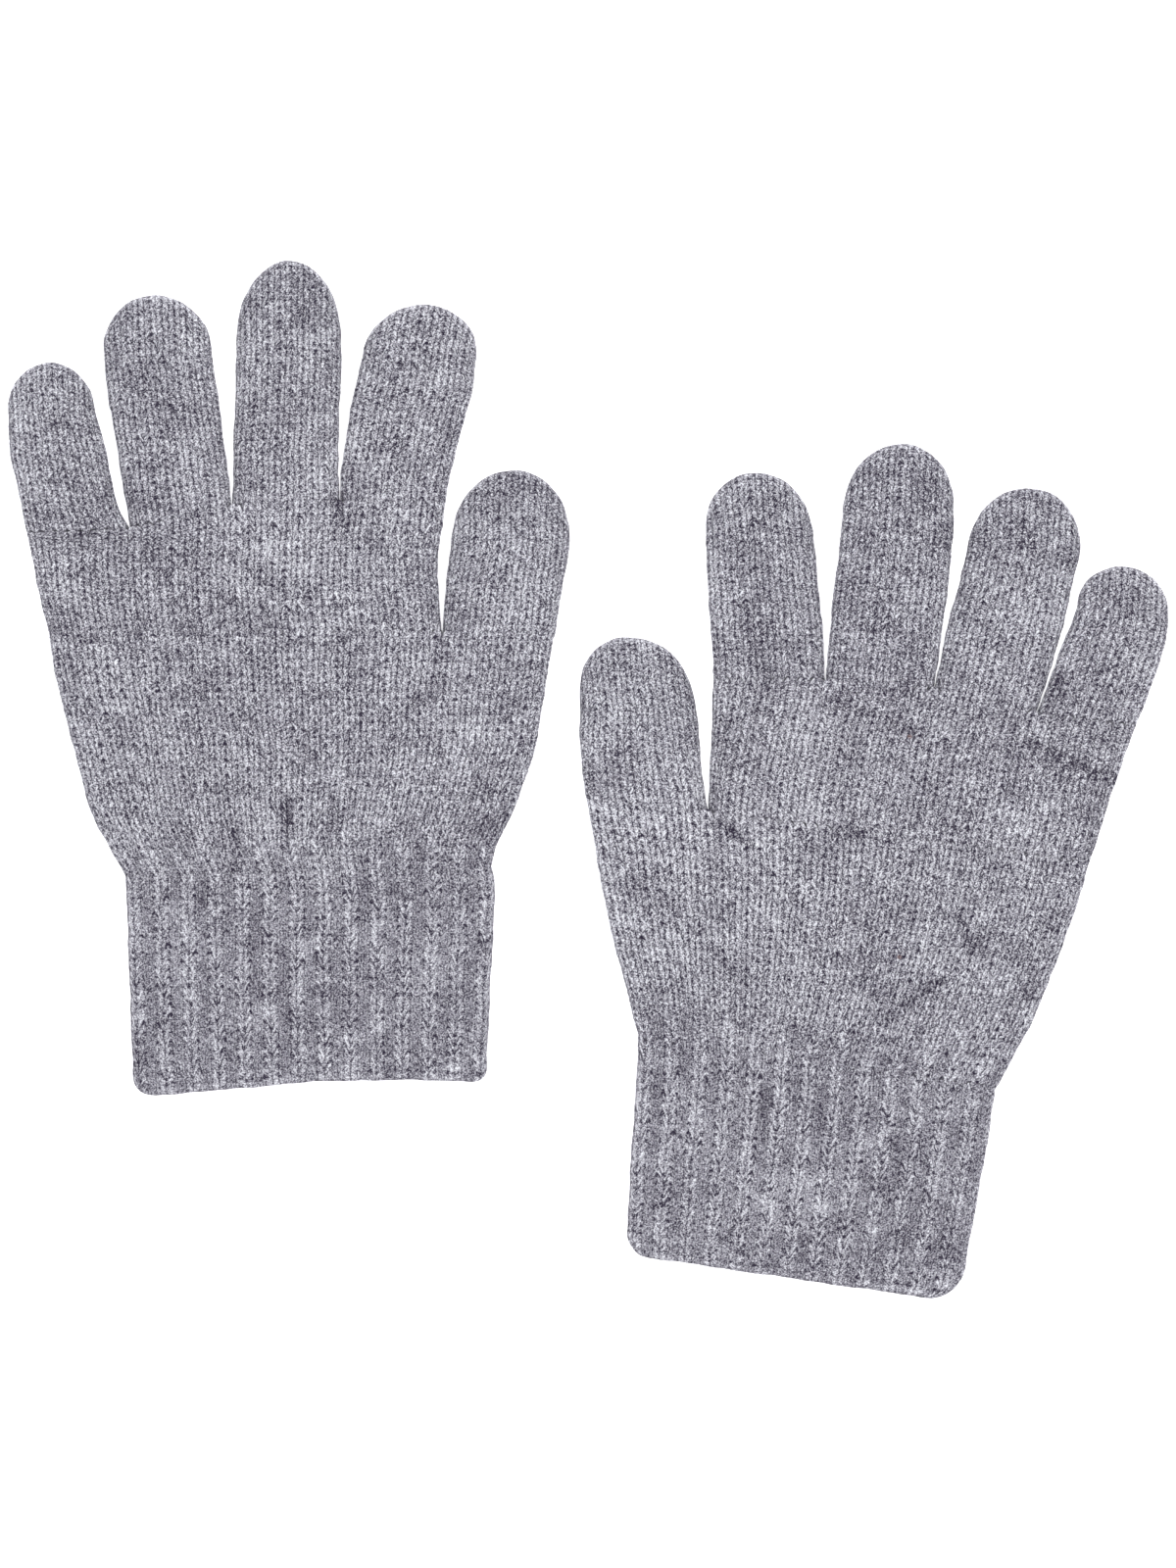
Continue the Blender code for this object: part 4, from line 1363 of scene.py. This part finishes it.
def make_floor(colour):
    """The plain floor, lit a little from within so that it stays white."""
    mesh = bpy.data.meshes.new("floor")
    corners = [(-FLOOR_HALF, -FLOOR_HALF, 0), (FLOOR_HALF, -FLOOR_HALF, 0)]
    corners += [(FLOOR_HALF, FLOOR_HALF, 0), (-FLOOR_HALF, FLOOR_HALF, 0)]
    mesh.from_pydata(corners, [], [(0, 1, 2, 3)])
    material = bpy.data.materials.new("floor_paper")
    material.use_nodes = True
    shader = material.node_tree.nodes["Principled BSDF"]
    surface = {
        "Base Color": (*colour, 1.0),
        "Roughness": 0.9,
        "Specular IOR Level": 0.1,
        "Emission Color": WHITE,
        "Emission Strength": FLOOR_GLOW,
    }
    NodeWriter(material.node_tree).fill(shader.inputs, surface)
    mesh.materials.append(material)
    floor = bpy.data.objects.new("floor", mesh)
    bpy.context.scene.collection.objects.link(floor)


def make_sky(strength):
    """Even white light from all round."""
    world = bpy.data.worlds.new("studio")
    world.use_nodes = True
    sky = world.node_tree.nodes["Background"]
    sky.inputs["Color"].default_value = WHITE
    sky.inputs["Strength"].default_value = strength
    bpy.context.scene.world = world


def make_lamp(lamp, power):
    """A large square light turned to the middle of the pair."""
    light = bpy.data.lights.new(lamp.name, "AREA")
    light.shape = "SQUARE"
    light.size = lamp.size
    light.energy = power
    made = bpy.data.objects.new(lamp.name, light)
    made.location = lamp.place
    x, y, z = lamp.place
    made.rotation_mode = "XYZ"
    made.rotation_euler = (math.atan2(math.hypot(x, y), z), 0.0, math.atan2(x, -y))
    bpy.context.scene.collection.objects.link(made)


def make_camera():
    """The camera straight above, as high as a photographer's stand."""
    camera = bpy.data.cameras.new("camera")
    camera.sensor_width = SENSOR
    camera.lens = SENSOR * (CAMERA_HEIGHT - HALF_HEIGHT * MM) / VIEW_HEIGHT
    view = bpy.data.objects.new("camera", camera)
    view.location = (0.0, VIEW_CENTRE_Y, CAMERA_HEIGHT)
    bpy.context.scene.collection.objects.link(view)
    bpy.context.scene.camera = view
    bpy.context.scene.view_settings.view_transform = "Standard"


class KnitOperator(bpy.types.Operator):
    """Knits the tubes of both gloves that it names"""

    bl_options = {"REGISTER"}
    tube_names = ()
    yarn_index = 0
    slot = "jersey"

    def execute(self, context):
        material = yarns()[self.yarn_index]
        for glove in (LEFT, RIGHT):
            tubes = glove_tubes(glove)
            for name in self.tube_names:
                knit_piece(tubes[name], context.scene.glove_sizes, material)
        return {"FINISHED"}


class GLOVES_OT_digits(KnitOperator):
    """Knits the four fingers and the thumb of each glove"""

    bl_idname = "gloves.digits"
    bl_label = "Knit fingers and thumbs"
    tube_names = ("little_finger", "ring_finger", "middle_finger", "index_finger", "thumb")


class GLOVES_OT_hands(KnitOperator):
    """Knits the upper and the lower hand of each glove"""

    bl_idname = "gloves.hands"
    bl_label = "Knit hands"
    tube_names = ("upper_hand", "lower_hand")


class GLOVES_OT_cuffs(KnitOperator):
    """Knits the ribbed cuff of each glove"""

    bl_idname = "gloves.cuffs"
    bl_label = "Knit cuffs"
    tube_names = ("cuff",)
    yarn_index = 1
    slot = "rib"


class GLOVES_OT_stage(bpy.types.Operator):
    """Makes the plain floor, the soft studio light and the camera straight above"""

    bl_idname = "gloves.stage"
    bl_label = "Set the stage"
    bl_options = {"REGISTER"}

    def execute(self, context):
        studio = context.scene.glove_studio
        make_floor(studio.floor_colour)
        make_sky(studio.sky_strength)
        for lamp in LAMPS:
            make_lamp(lamp, lamp.share * studio.key_power)
        make_camera()
        return {"FINISHED"}


class GLOVES_PT_panel(bpy.types.Panel):
    """Lists the steps that make the gloves and the values they use"""

    bl_idname = "GLOVES_PT_panel"
    bl_label = "Knitted gloves"
    bl_space_type = "VIEW_3D"
    bl_region_type = "UI"
    bl_category = "Gloves"

    def draw(self, context):
        scene = context.scene
        for group in (scene.glove_sizes, scene.glove_colours, scene.glove_studio):
            box = self.layout.box()
            for name in group.__annotations__:
                box.prop(group, name)
        for operator in OPERATORS:
            self.layout.operator(operator.bl_idname)


OPERATORS = (GLOVES_OT_digits, GLOVES_OT_hands, GLOVES_OT_cuffs, GLOVES_OT_stage)
CLASSES = (KnitSizes, YarnColours, StudioSettings, *OPERATORS, GLOVES_PT_panel)


def register():
    """Adds the classes and the values that the scene keeps for them."""
    for item in CLASSES:
        bpy.utils.register_class(item)
    bpy.types.Scene.glove_sizes = bpy.props.PointerProperty(type=KnitSizes)
    bpy.types.Scene.glove_colours = bpy.props.PointerProperty(type=YarnColours)
    bpy.types.Scene.glove_studio = bpy.props.PointerProperty(type=StudioSettings)


def unregister():
    """Takes away what register adds."""
    del bpy.types.Scene.glove_sizes
    del bpy.types.Scene.glove_colours
    del bpy.types.Scene.glove_studio
    for item in reversed(CLASSES):
        bpy.utils.unregister_class(item)


def main():
    """Makes both gloves and the stage."""
    register()
    bpy.ops.gloves.digits()
    bpy.ops.gloves.hands()
    bpy.ops.gloves.cuffs()
    bpy.ops.gloves.stage()


if __name__ == "__main__":
    main()
